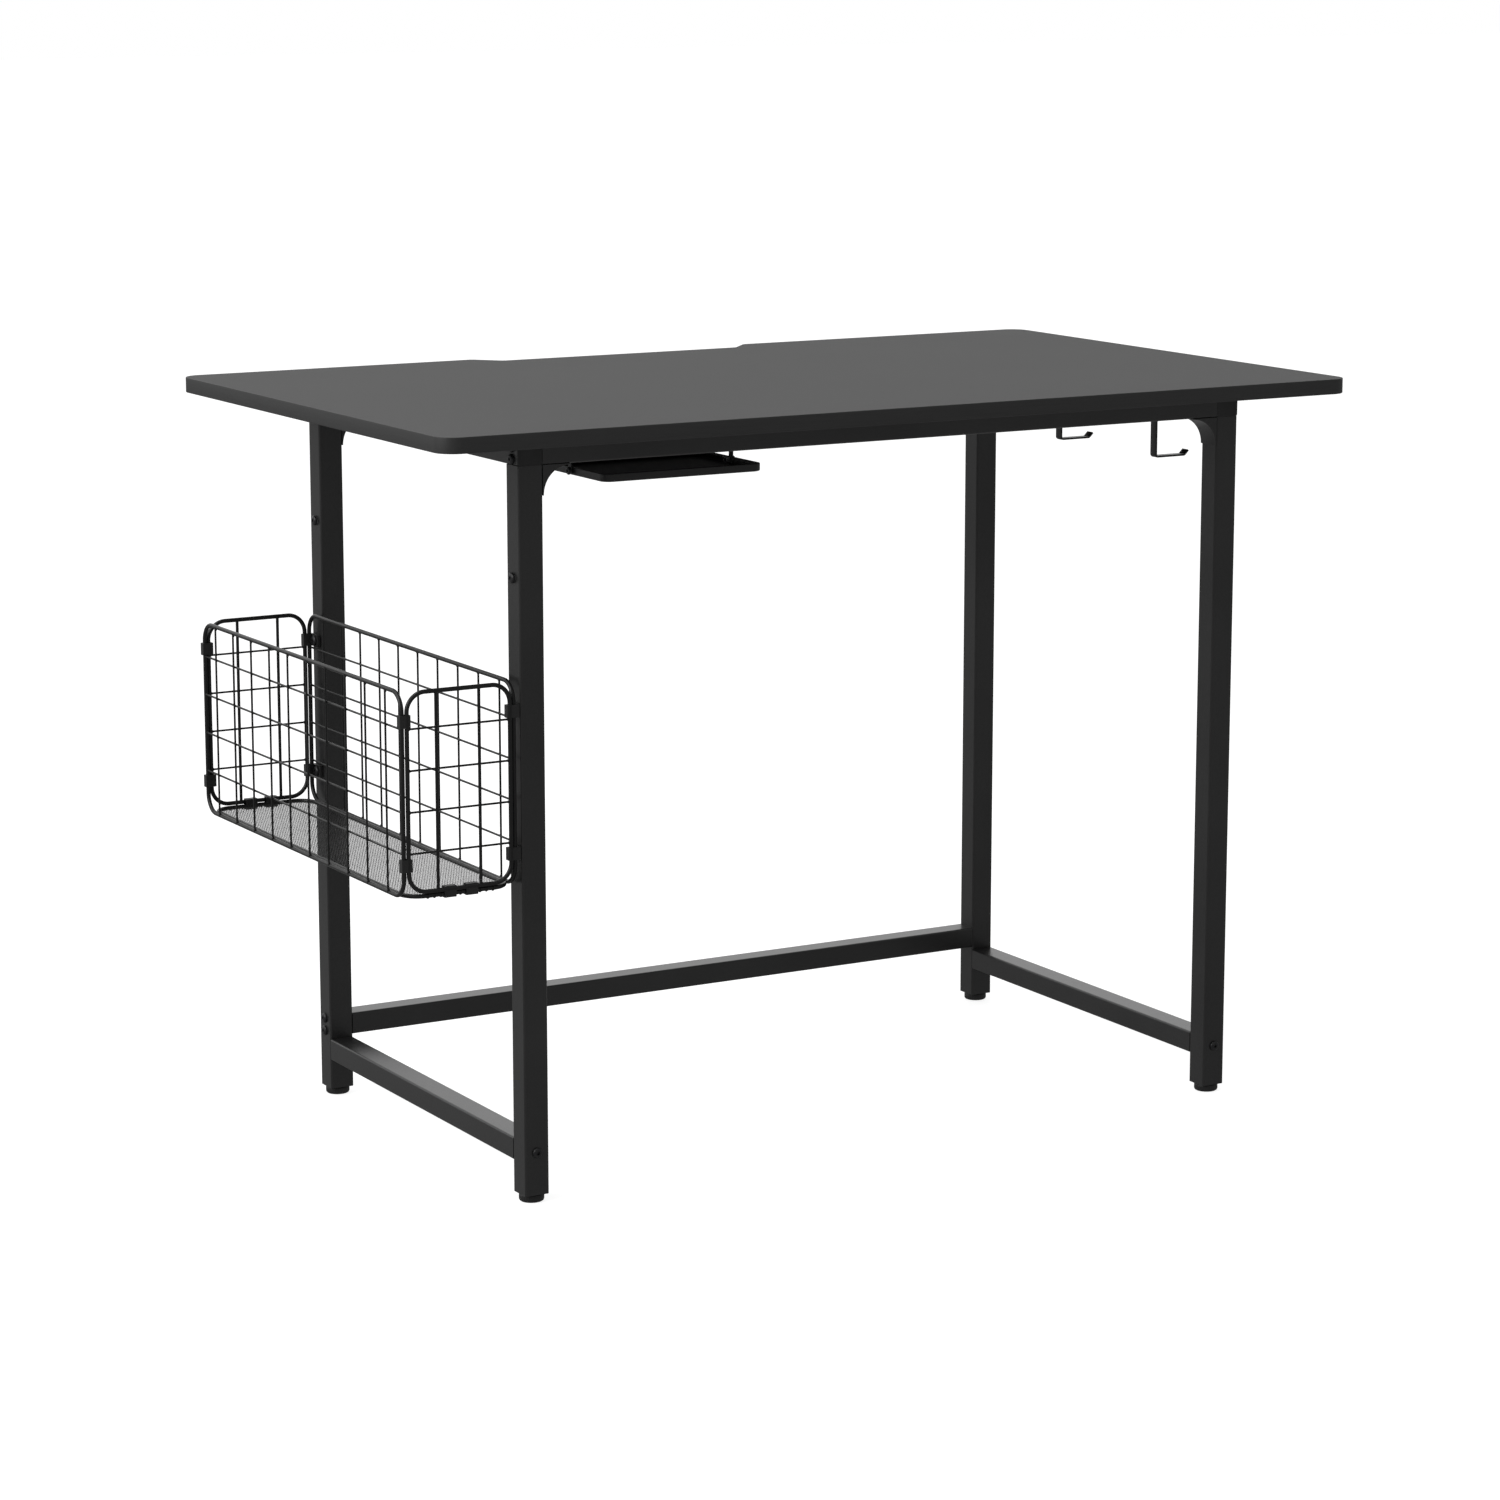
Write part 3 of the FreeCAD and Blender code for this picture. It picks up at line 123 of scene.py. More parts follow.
def turned_outwards(surface):
    """The same surface, with its faces flipped if its enclosed volume comes out negative."""
    points, faces = surface
    volume = 0.0
    for group in faces:
        first = points[group[:, 0]]
        for k in range(1, group.shape[1] - 1):
            cross = np.cross(points[group[:, k]], points[group[:, k + 1]])
            volume += np.einsum("ij,ij->", first, cross)
    if volume < 0:
        faces = [group[:, ::-1] for group in faces]
    return points, faces


def carry(surface, origin=(0, 0, 0), across=(1, 0, 0), up=(0, 0, 1)):
    """Place a surface: its own X goes along `across`, its own Z along `up`."""
    points, faces = surface
    x_axis = np.array(across, dtype=float)
    z_axis = np.array(up, dtype=float)
    y_axis = np.cross(z_axis, x_axis)
    turn = np.stack([x_axis, y_axis, z_axis])
    return points @ turn + np.array(origin, dtype=float), faces


def rounded_outline(corners, radii, steps=10):
    """A closed line through the corners, each replaced by an arc of its own radius.

    The arc starts radius * tan(half the turn) before its corner and sweeps the turn evenly.
    Returns the points and their outward directions, for corners that run anticlockwise.
    """
    corners = np.asarray(corners, dtype=float)
    ahead = np.roll(corners, -1, axis=0) - corners
    ahead /= np.linalg.norm(ahead, axis=1)[:, None]
    behind = np.roll(ahead, 1, axis=0)
    turn = np.arctan2(behind[:, 0] * ahead[:, 1] - behind[:, 1] * ahead[:, 0],
                      (behind * ahead).sum(axis=1))
    radii = np.asarray(radii, dtype=float)
    side = np.sign(turn)
    left = np.stack([-behind[:, 1], behind[:, 0]], axis=1)
    starts = corners - behind * (radii * np.tan(np.abs(turn) / 2))[:, None]
    centres = starts + left * (side * radii)[:, None]
    share = np.linspace(0, 1, steps)[None, :]
    heading = np.arctan2(behind[:, 1], behind[:, 0])[:, None] + turn[:, None] * share
    outward = np.stack([np.sin(heading), -np.cos(heading)], axis=-1)
    points = centres[:, None, :] + outward * (side * radii)[:, None, None]
    return points.reshape(-1, 2), outward.reshape(-1, 2)


def rectangle_outline(width, height, radius, steps=10):
    """The outline of a rectangle about the origin, with one radius at its corners."""
    w, h = width / 2, height / 2
    return rounded_outline([(-w, -h), (w, -h), (w, h), (-w, h)], [radius] * 4, steps)


def around(outline, profile, closed=False):
    """A profile carried round an outline: ring (offset, z) is the outline moved outwards and up."""
    points, outward = outline
    offset, height = np.asarray(profile, dtype=float).T
    flat = points[None, :, :] + outward[None, :, :] * offset[:, None, None]
    z = np.broadcast_to(height[:, None, None], flat.shape[:2] + (1,))
    return turned_outwards(stack(np.concatenate([flat, z], axis=-1), closed))


def quarter(centre, radius, start, steps=5):
    """Points of a quarter circle in the (offset, z) plane, from the start angle in degrees."""
    angle = np.radians(start + np.linspace(0, 90, steps))
    return np.stack([centre[0] + radius * np.cos(angle), centre[1] + radius * np.sin(angle)],
                    axis=-1)


def slab(outline, low, high, ease):
    """A plate with eased edges: straight sides and a quarter round of radius `ease` at each face."""
    profile = np.concatenate([quarter((-ease, low + ease), ease, -90),
                              quarter((-ease, high - ease), ease, 0)])
    return around(outline, profile)


def rod(path, radius, up, closed=False, sides=16):
    """A round section carried along a flat path.

    Point v of ring u is path point u plus the radius times the cosine of v's angle sideways and
    the radius times its sine along `up`, where sideways is square to `up` and to the path.
    """
    path = np.asarray(path, dtype=float)
    if closed:
        ahead = np.roll(path, -1, axis=0) - np.roll(path, 1, axis=0)
    else:
        ahead = np.gradient(path, axis=0)
    ahead /= np.linalg.norm(ahead, axis=1)[:, None]
    up = np.broadcast_to(np.asarray(up, dtype=float), path.shape)
    across = np.cross(ahead, up)
    angle = np.linspace(0, TURN, sides, endpoint=False)[None, :, None]
    rings = path[:, None, :] + radius * (np.cos(angle) * across[:, None, :]
                                         + np.sin(angle) * up[:, None, :])
    return turned_outwards(stack(rings, closed))


def rods(starts, ends, radius, sides=10):
    """Straight round bars, one from each start to its end."""
    share = np.linspace(0, 1, 3)[:, None]
    parts = []
    for start, end in zip(np.atleast_2d(starts), np.atleast_2d(ends)):
        upright = abs(end - start)[2] > abs(end - start)[:2].max()
        up = (1, 0, 0) if upright else (0, 0, 1)
        parts.append(rod(start + (end - start) * share, radius, up, sides=sides))
    return parts


def beads(centres, size, sides=8, levels=6):
    """Small weld beads: each a ball squeezed to the size (x, y, z).

    Ring u stands at the sine of its tilt, with the cosine of its tilt as its radius. The tilt
    stops just short of the poles, where small flat faces close the bead.
    """
    steepest = 0.92 * math.pi / 2
    tilt = np.linspace(-steepest, steepest, levels)
    angle = np.linspace(0, TURN, sides, endpoint=False)
    ring = np.stack([np.cos(tilt)[:, None] * np.cos(angle)[None, :],
                     np.cos(tilt)[:, None] * np.sin(angle)[None, :],
                     np.broadcast_to(np.sin(tilt)[:, None], (levels, sides))], axis=-1)
    points, faces = turned_outwards(stack(ring * np.asarray(size)))
    return [(points + centre, faces) for centre in np.atleast_2d(centres)]


def strip(path, width, thickness, side, ease, steps=4):
    """A flat bar bent along a path.

    Ring u is a rounded rectangle about path point u, with its width along `side` and its
    thickness square to `side` and to the path.
    """
    path = np.asarray(path, dtype=float)
    section, _ = rectangle_outline(width, thickness, ease, steps)
    ahead = np.gradient(path, axis=0)
    ahead /= np.linalg.norm(ahead, axis=1)[:, None]
    side = np.broadcast_to(np.asarray(side, dtype=float), path.shape)
    face = np.cross(ahead, side)
    rings = (path[:, None, :] + section[None, :, :1] * side[:, None, :]
             + section[None, :, 1:] * face[:, None, :])
    return turned_outwards(stack(rings))


def bent_line(corners, radii, steps=10):
    """An open line in a plane through corners, with an arc at each inner corner."""
    corners = np.asarray(corners, dtype=float)
    points, _ = rounded_outline(corners, radii, steps)
    points = points.reshape(len(corners), steps, 2)
    inner = points[1:-1].reshape(-1, 2)
    return np.concatenate([corners[:1], inner, corners[-1:]])


# ---------------------------------------------------------------- pieces

def piece(name, surfaces, finish, replaced, body="frame", crease=32):
    """One object from surfaces, riding on its body.

    Quads are shaded smooth up to the crease angle. End faces with more sides are flat and are
    shaded flat.
    """
    points = np.concatenate([p for p, _ in surfaces])
    loops, starts, smooth, base, at = [], [], [], 0, 0
    for own, groups in surfaces:
        for group in groups:
            count, sides = group.shape
            loops.append((group + base).ravel())
            starts.append(at + sides * np.arange(count))
            smooth.append(np.full(count, sides <= 4))
            at += count * sides
        base += len(own)
    loops, starts = np.concatenate(loops), np.concatenate(starts)
    mesh = bpy.data.meshes.new(name)
    mesh.vertices.add(len(points))
    mesh.vertices.foreach_set("co", points.astype(np.float32).ravel())
    mesh.loops.add(len(loops))
    mesh.loops.foreach_set("vertex_index", loops.astype(np.int32))
    mesh.polygons.add(len(starts))
    mesh.polygons.foreach_set("loop_start", starts.astype(np.int32))
    mesh.update(calc_edges=True)
    mesh.validate()
    mesh.set_sharp_from_angle(angle=math.radians(crease))
    mesh.polygons.foreach_set("use_smooth", np.concatenate(smooth))
    mesh.materials.append(finish)
    thing = bpy.data.objects.new(name, mesh)
    bpy.context.scene.collection.objects.link(thing)
    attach(thing, body)
    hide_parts(*replaced)


# ---------------------------------------------------------------- shader maths

# The sockets of a Mix node that serve its colours, counted from its top.
MIX_FACTOR, MIX_DARK, MIX_LIGHT, MIX_COLOUR = 0, 6, 7, 2


class Signal:
    """An output of a shader node. Arithmetic on it adds Math nodes."""

    def __init__(self, tree, socket=None):
        self.tree = tree
        self.socket = socket

    def node(self, kind, settings=None, inputs=None, output=0):
        """Add a node: its settings first, then the values or links of its inputs."""
        made = self.tree.nodes.new(kind)
        for key, value in (settings or {}).items():
            setattr(made, key, value)
        for key, value in (inputs or {}).items():
            if isinstance(value, Signal):
                self.tree.links.new(value.socket, made.inputs[key])
            else:
                made.inputs[key].default_value = value
        return Signal(self.tree, made.outputs[output] if made.outputs else None)

    def maths(self, operation, first, second):
        """One Math node on two values."""
        return self.node("ShaderNodeMath", {"operation": operation}, {0: first, 1: second})

    def __add__(self, other):
        return self.maths("ADD", self, other)

    __radd__ = __add__

    def __sub__(self, other):
        return self.maths("SUBTRACT", self, other)

    def __rsub__(self, other):
        return self.maths("SUBTRACT", other, self)

    def __mul__(self, other):
        return self.maths("MULTIPLY", self, other)

    __rmul__ = __mul__

    def noise(self, where, scale, detail=2.0, rough=0.5):
        """Soft random waves, about `scale` of them to a metre."""
        return self.node("ShaderNodeTexNoise", None,
                         {"Vector": where, "Scale": scale, "Detail": detail, "Roughness": rough})

    def grains(self, where, scale):
        """Distance to the nearest of many scattered cells."""
        return self.node("ShaderNodeTexVoronoi", None, {"Vector": where, "Scale": scale})

    def between(self, low, high):
        """0 below low, 1 above high, and smooth between them."""
        return self.node("ShaderNodeMapRange", {"interpolation_type": "SMOOTHSTEP"},
                         {"Value": self, "From Min": low, "From Max": high})

    def blend(self, dark, light):
        """A colour between dark, where the signal is 0, and light, where it is 1."""
        return self.node("ShaderNodeMix", {"data_type": "RGBA"},
                         {MIX_FACTOR: self, MIX_DARK: dark, MIX_LIGHT: light}, output=MIX_COLOUR)

    def bump(self, strength, depth):
        """A surface normal raised by the signal, at most `depth` metres."""
        return self.node("ShaderNodeBump", None,
                         {"Strength": strength, "Distance": depth, "Height": self})


def grey(value):
    """A neutral colour."""
    return (value, value, value, 1.0)


def new_finish(name):
    """An empty material, its signal maker and the surface coordinates of the object."""
    material = bpy.data.materials.new(name)
    material.use_nodes = True
    material.node_tree.nodes.clear()
    maker = Signal(material.node_tree)
    where = maker.node("ShaderNodeTexCoord", output="Object")
    return material, maker, where


def surface(material, maker, inputs):
    """Close a material with one surface shader."""
    shader = maker.node("ShaderNodeBsdfPrincipled", None, inputs)
    maker.node("ShaderNodeOutputMaterial", None, {"Surface": shader})
    return material


def stretched(maker, where, scale):
    """The coordinates scaled by different amounts along X, Y and Z."""
    return maker.node("ShaderNodeMapping", None, {"Vector": where, "Scale": scale})


def laminate_top():
    """Charcoal desk laminate: a pebbled emboss, faint clouds of tone and lighter rubbed tips."""
    material, maker, where = new_finish("charcoal_laminate")
    pebble = maker.noise(where, 1400, 3, 0.6)
    fleck = maker.grains(where, 2600)
    cloud = maker.noise(where, 5, 4, 0.55)
    height = pebble * 0.7 + (1 - fleck) * 0.3
    tone = (pebble * 0.45 + cloud * 0.55).between(0.3, 0.75)
    return surface(material, maker, {
        "Base Color": tone.blend(grey(0.015), grey(0.022)),
        "Roughness": 0.53 + pebble * 0.12 + cloud * 0.06,
        "Specular IOR Level": 0.2,
        "Normal": height.bump(0.25, 0.00012),
    })


def edge_banding():
    """Black edge band: fine lines along the strip left by its press roller, with small dull spots."""
    material, maker, where = new_finish("black_edge_band")
    lines = maker.noise(stretched(maker, where, (25, 25, 3000)), 1.0, 3, 0.5)
    spots = maker.noise(where, 700, 2)
    return surface(material, maker, {
        "Base Color": (lines * 0.6 + spots * 0.4).between(0.3, 0.7).blend(grey(0.011), grey(0.016)),
        "Roughness": 0.5 + spots * 0.16,
        "Specular IOR Level": 0.4,
        "Normal": (lines + spots * 0.6).bump(0.18, 0.00008),
    })


def powder_coat(name, dark, light, rough, peel_scale, shine):
    """Black powder coat: orange-peel waves under fine grit, slightly uneven in tone and gloss."""
    material, maker, where = new_finish(name)
    peel = maker.noise(where, peel_scale, 2, 0.45)
    grit = maker.noise(where, peel_scale * 4.5, 2, 0.6)
    cloud = maker.noise(where, 9, 3, 0.5)
    tone = (grit * 0.5 + cloud * 0.5).between(0.35, 0.7)
    return surface(material, maker, {
        "Base Color": tone.blend(dark, light),
        "Roughness": rough + grit * 0.10 + cloud * 0.06,
        "Specular IOR Level": shine,
        "Normal": (peel * 0.75 + grit * 0.25).bump(0.35, 0.00025),
    })


def moulded_plastic():
    """Black moulded plastic with a spark-eroded grain and faint flow marks."""
    material, maker, where = new_finish("moulded_black_plastic")
    grain = maker.noise(where, 2400, 3, 0.65)
    flow = maker.noise(stretched(maker, where, (60, 60, 14)), 1.0, 3, 0.5)
    return surface(material, maker, {
        "Base Color": flow.between(0.3, 0.7).blend(grey(0.005), grey(0.008)),
        "Roughness": 0.42 + grain * 0.14,
        "Specular IOR Level": 0.4,
        "Normal": (grain + flow * 0.3).bump(0.2, 0.0001),
    })


def black_oxide():
    """Blackened steel fasteners: tight grain, bluish dark tone and rubbed lighter patches."""
    material, maker, where = new_finish("black_oxide_steel")
    grain = maker.noise(where, 3200, 2, 0.6)
    rub = maker.noise(where, 420, 3, 0.6).between(0.52, 0.74)
    return surface(material, maker, {
        "Base Color": rub.blend((0.005, 0.005, 0.006, 1), (0.022, 0.021, 0.020, 1)),
        "Metallic": 0.2 + rub * 0.2,
        "Roughness": 0.36 + grain * 0.12 - rub * 0.06,
        "Normal": grain.bump(0.12, 0.00006),
    })


def zinc_plate():
    """Bright zinc plate: drawn lines, spangled tone and dull white bloom in places."""
    material, maker, where = new_finish("zinc_plated_steel")
    spangle = maker.grains(where, 900)
    bloom = maker.noise(where, 260, 3, 0.6).between(0.5, 0.75)
    return surface(material, maker, {
        "Base Color": (spangle * 0.4 + bloom * 0.6).blend((0.45, 0.46, 0.48, 1),
                                                          (0.62, 0.63, 0.64, 1)),
        "Metallic": 1.0 - bloom * 0.3,
        "Roughness": 0.26 + bloom * 0.25 + spangle * 0.05,
        "Normal": maker.noise(where, 1800, 2).bump(0.1, 0.00006),
    })


FINISHES = {
    "board": laminate_top(),
    "edge_band": edge_banding(),
    "frame_steel": powder_coat("powder_coated_steel", grey(0.008), grey(0.013), 0.24, 520, 0.45),
    "moulded_black": moulded_plastic(),
    "bolt_black": black_oxide(),
    "zinc_steel": zinc_plate(),
    "accessory_steel": powder_coat("coated_sheet_steel", grey(0.005), grey(0.008), 0.28, 1300, 0.4),
    "basket_wire": powder_coat("coated_basket_wire", grey(0.004), grey(0.006), 0.28, 1700, 0.3),
    "basket_mesh": powder_coat("coated_expanded_mesh", grey(0.006), grey(0.010), 0.34, 2600, 0.3),
}

# A node that no piece replaces keeps its own mesh and gets the finish of its material.
for cad_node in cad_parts.values():
    for holder in cad_node.material_slots:
        holder.material = FINISHES[holder.material.name]


# ---------------------------------------------------------------- desk board

ARC_STEPS = 14
BOARD_CORNER = 20 * MM
BAND = 1 * MM
BAND_EASE = 0.7 * MM
SEAM_EASE = 0.12 * MM
NOTCH_SHIFT = -14 * MM
NOTCH_MOUTH = 324 * MM
NOTCH_FLOOR = 276 * MM
NOTCH_DEPTH = 26 * MM
NOTCH_ROUND = 10 * MM


def board_pieces():
    """The board's core with both laminates, and the band glued round it.

    The outline is the board's rectangle with its corner arcs and the cable notch; the core is
    that outline moved in by the band's thickness.
    """
    low, high = box("desktop_edge_band")
    centre = (low + high) / 2
    half_w, half_d = (high[0] - low[0]) / 2, (high[1] - low[1]) / 2
    corners = [(-half_w, -half_d), (half_w, -half_d), (half_w, half_d),
               (NOTCH_SHIFT + NOTCH_MOUTH / 2, half_d),
               (NOTCH_SHIFT + NOTCH_FLOOR / 2, half_d - NOTCH_DEPTH),
               (NOTCH_SHIFT - NOTCH_FLOOR / 2, half_d - NOTCH_DEPTH),
               (NOTCH_SHIFT - NOTCH_MOUTH / 2, half_d), (-half_w, half_d)]
    radii = [BOARD_CORNER] * 3 + [NOTCH_ROUND] * 4 + [BOARD_CORNER]
    points, outward = rounded_outline(np.array(corners) + centre[:2], radii, ARC_STEPS)
    core = slab((points - outward * BAND, outward), low[2], high[2], SEAM_EASE)
    piece("desk_board", [core], FINISHES["board"], ["desktop_board"])
    section = np.concatenate([quarter((-BAND_EASE, low[2] + BAND_EASE), BAND_EASE, -90),
                              quarter((-BAND_EASE, high[2] - BAND_EASE), BAND_EASE, 0),
                              [(-BAND, high[2]), (-BAND, low[2])]])
    band = around((points, outward), section, closed=True)
    piece("desk_edge_band", [band], FINISHES["edge_band"], ["desktop_edge_band"])


board_pieces()


# ---------------------------------------------------------------- corner braces and rail caps

BRACE_ROUND = 27 * MM
BRACE_BACK = 0.05 * MM
BRACE_TIP = 0.2 * MM
BRACE_SPARE = 0.3 * MM
BRACE_EASE = 0.15 * MM
BRACE_STEPS = 18


def brace_pieces():
    """Corner braces: a plate between leg and rail whose free side is a hollow quarter round.

    The outline runs down the leg, across the lower tip, up along the hollow arc to the far tip
    and back under the rail. The arc's radius is a little short of the whole hollow, which leaves
    the tips their own arcs. The plate stands in the XZ plane and is as deep as its node along Y.
    """
    board_x = middle("desktop_board")[0]
    hollow = BRACE_ROUND - BRACE_SPARE
    radii = [BRACE_BACK, BRACE_BACK, BRACE_TIP, hollow, BRACE_TIP, BRACE_BACK]
    for end in ("front", "rear"):
        for side in ("left", "right"):
            node = f"corner_brace_{end}_{side}"
            low, high = box(node)
            centre = (low + high) / 2
            leg = high[0] - low[0]
            tip = leg - BRACE_ROUND
            corners = [(0, 0), (0, -leg), (tip, -leg), (tip, -tip), (leg, -tip), (leg, 0)]
            outline = rounded_outline(corners, radii, BRACE_STEPS)
            depth = high[1] - low[1]
            points, faces = slab(outline, -depth / 2, depth / 2, BRACE_EASE)
            inwards = 1 if centre[0] < board_x else -1
            corner = np.array([low[0] if inwards > 0 else high[0], centre[1], high[2]])
            upright = np.stack([inwards * points[:, 0], points[:, 2], points[:, 1]], axis=1)
            placed = turned_outwards((upright + corner, faces))
            piece(f"brace_{end}_{side}", [placed], FINISHES["frame_steel"], [node])


brace_pieces()


CAP_PLATE = 2 * MM
CAP_CORNER = 2 * MM
CAP_EASE = 0.5 * MM
TONGUE_INSET = 1.3 * MM
TONGUE_CORNER = 0.6 * MM
TONGUE_EASE = 0.3 * MM


def cap_pieces():
    """Rail end caps: a rounded plate flush with the rail, and a smaller block inside the tube."""
    middle_y = middle("desktop_board")[1]
    parts = []
    for spots in solids("side_rail_end_caps"):
        low, high = spots.min(axis=0), spots.max(axis=0)
        width, height, length = high[0] - low[0], high[2] - low[2], high[1] - low[1]
        towards = 1 if (low[1] + high[1]) / 2 < middle_y else -1
        face = low[1] if towards > 0 else high[1]
        plate = slab(rectangle_outline(width, height, CAP_CORNER), 0, CAP_PLATE, CAP_EASE)
        within = rectangle_outline(width - 2 * TONGUE_INSET, height - 2 * TONGUE_INSET,
                                   TONGUE_CORNER)
        tongue = slab(within, CAP_PLATE - TONGUE_EASE, length, TONGUE_EASE)
        at = ((low[0] + high[0]) / 2, face, (low[2] + high[2]) / 2)
        for part in (plate, tongue):
            parts.append(carry(part, at, (1, 0, 0), (0, towards, 0)))
    piece("rail_caps", parts, FINISHES["moulded_black"], ["side_rail_end_caps"])


cap_pieces()


# ---------------------------------------------------------------- feet

FLUTES = 28
FLUTE_DEEP = 0.22 * MM
POINTS_PER_FLUTE = 6


def foot_profile(r, h):
    """A pad's profile from the middle of its underside to the middle of its top.

    Each row holds a radius, a height and how much of the flutes' depth it takes.
    """
    return np.array([
        (0.30 * r, 0.4 * MM, 0), (0.80 * r, 0.0, 0), (r - 1.5 * MM, 0.0, 0),
        (r - 0.5 * MM, 0.7 * MM, 0.2), (r - 0.1 * MM, 1.5 * MM, 1), (r, 2.4 * MM, 1),
        (r, h - 2.2 * MM, 1), (r - 0.1 * MM, h - 1.3 * MM, 1),
        (r - 0.6 * MM, h - 0.4 * MM, 0.2), (r - 1.2 * MM, h, 0), (0.62 * r, h, 0),
        (0.60 * r, h - 0.5 * MM, 0), (0.36 * r, h - 0.5 * MM, 0),
    ])


def foot_pieces():
    """Levelling pads: a turned profile whose rim has shallow grip flutes.

    Ring u is a circle of the profile's radius u, less its share of a wave that goes from 0 to
    the flutes' depth and back, (1 - cos(flutes * angle)) / 2, once for each flute.
    """
    angle = np.linspace(0, TURN, FLUTES * POINTS_PER_FLUTE, endpoint=False)
    waves = FLUTE_DEEP * (0.5 - 0.5 * np.cos(FLUTES * angle))
    for end in ("front", "rear"):
        for side in ("left", "right"):
            node = f"foot_pad_{end}_{side}"
            low, high = box(node)
            centre = (low + high) / 2
            profile = foot_profile((high[0] - low[0]) / 2, high[2] - low[2])
            radius = profile[:, 0][:, None] - profile[:, 2][:, None] * waves[None, :]
            rings = np.stack([radius * np.cos(angle), radius * np.sin(angle),
                              np.broadcast_to(profile[:, 1][:, None], radius.shape)], axis=-1)
            rings = rings + np.array([centre[0], centre[1], low[2]])
            piece(f"levelling_pad_{end}_{side}", [turned_outwards(stack(rings))],
                  FINISHES["moulded_black"], [node],
                  body=f"foot_{end}_{side}", crease=40)


foot_pieces()


# ---------------------------------------------------------------- bolts and screws

HEAD_RIM_SHARE = 0.97
SHANK_SHARE = 0.3


def fasteners(node):
    """Where each bolt of a node is: its seat, the direction of its head, and its main sizes.

    The axis is the solid's longest side. The head is the end where the vertices lie furthest
    from that axis, and its seat is the lowest of those vertices along the head's direction.
    The shank's radius is read clear of the head, past a share of the way from seat to tip.
    """
    found = []
    for spots in solids(node):
        low, high = spots.min(axis=0), spots.max(axis=0)
        axis = int(np.argmax(high - low))
        centre = (low + high) / 2
        away = spots - centre
        along = away[:, axis].copy()
        away[:, axis] = 0
        reach = np.linalg.norm(away, axis=1)
        widest = reach > HEAD_RIM_SHARE * reach.max()
        head_way = 1.0 if along[widest].mean() > 0 else -1.0
        along = along * head_way
        seat = along[widest].min()
        up = np.zeros(3)
        up[axis] = head_way
        shank = reach[along < seat - SHANK_SHARE * (seat - along.min())].max()
        found.append({"seat": centre + up * seat, "up": up, "head": reach.max(),
                      "head_height": along.max() - seat, "length": seat - along.min(),
                      "shank": shank})
    return found


def hexagon_key(across_flats):
    """A hexagon recess: half the width across its flats over the cosine of the angle from the
    middle of the nearest flat."""
    def reach(angle):
        from_flat = (angle + math.pi / 6) % (math.pi / 3) - math.pi / 6
        return across_flats / 2 / np.cos(from_flat)
    return reach


def cross_key(arm, half_width):
    """A cross recess: half an arm's width over the lesser of sine and cosine, and never more
    than the arm's length."""
    def reach(angle):
        least = np.minimum(np.abs(np.cos(angle)), np.abs(np.sin(angle)))
        return np.minimum(half_width / np.maximum(least, 1e-6), arm)
    return reach


FASTENER_SIDES = 48
DOME_RINGS = 7
SEAT_GAP = 0.02 * MM
# shares of a head's radius
UNDERSIDE_WIDE, LEAST_LIP = 0.96, 0.5
# shares of a head's height
SKIRT_FOOT, SKIRT_TOP, WALL_TOP, MOUTH_TOP = 0.08, 0.28, 0.95, 0.995
# shares of a recess's outline
LIP_WIDE, MOUTH_WIDE, FLOOR_WIDE = 1.18, 1.04, 0.94
# a shank's end, in shares of its radius
POINT = {"tip": 0.12, "taper": 2.2}
BLUNT = {"tip": 0.8, "taper": 0.35}


def fastener_surface(found, recess, recess_deep, end):
    """A button head on a shank, as one closed turned surface.

    Rings go up from the tip of the shank, out under the head and up its skirt. Over the dome
    the radius falls from the rim to the lip as a quarter circle does: by one less the square
    root of one less the rise squared. The last rings take the recess's outline and drop into
    it.
    """
    angle = np.linspace(0, TURN, FASTENER_SIDES, endpoint=False)
    round_ring = np.ones(FASTENER_SIDES)
    r, h, shank, length = found["head"], found["head_height"], found["shank"], found["length"]
    rise = np.linspace(0, 1, DOME_RINGS)
    inner = recess(angle)
    lip = max(LIP_WIDE * inner.max(), LEAST_LIP * r)
    dome = r + (lip - r) * (1 - np.sqrt(1 - rise ** 2))
    dome_height = (SKIRT_TOP + (1 - SKIRT_TOP) * rise) * h
    rings = [
        # the tip, the top of its taper, and the shank just under the head
        (end["tip"] * shank * round_ring, -length),
        (shank * round_ring, -length + end["taper"] * shank),
        (shank * round_ring, -SEAT_GAP),
        # the head's underside and the foot of its skirt
        (UNDERSIDE_WIDE * r * round_ring, 0.0),
        (r * round_ring, SKIRT_FOOT * h),
    ]
    rings += [(radius * round_ring, z) for radius, z in zip(dome, dome_height)]
    # the recess: its eased mouth, its wall and its floor
    rings += [(MOUTH_WIDE * inner, MOUTH_TOP * h), (inner, WALL_TOP * h),
              (FLOOR_WIDE * inner, h - recess_deep)]
    radius = np.stack([ring for ring, _ in rings])
    height = np.array([z for _, z in rings])[:, None]
    points = np.stack([radius * np.cos(angle), radius * np.sin(angle),
                       np.broadcast_to(height, radius.shape)], axis=-1)
    across = np.roll(found["up"], 1)
    return carry(turned_outwards(stack(points)), found["seat"], across, found["up"])


def fastener_piece(name, node, recess, recess_deep, end=BLUNT, body="frame"):
    """One piece for all the bolts or screws of a node."""
    parts = [fastener_surface(found, recess, recess_deep, end) for found in fasteners(node)]
    piece(name, parts, FINISHES["bolt_black"], [node], body=body, crease=28)


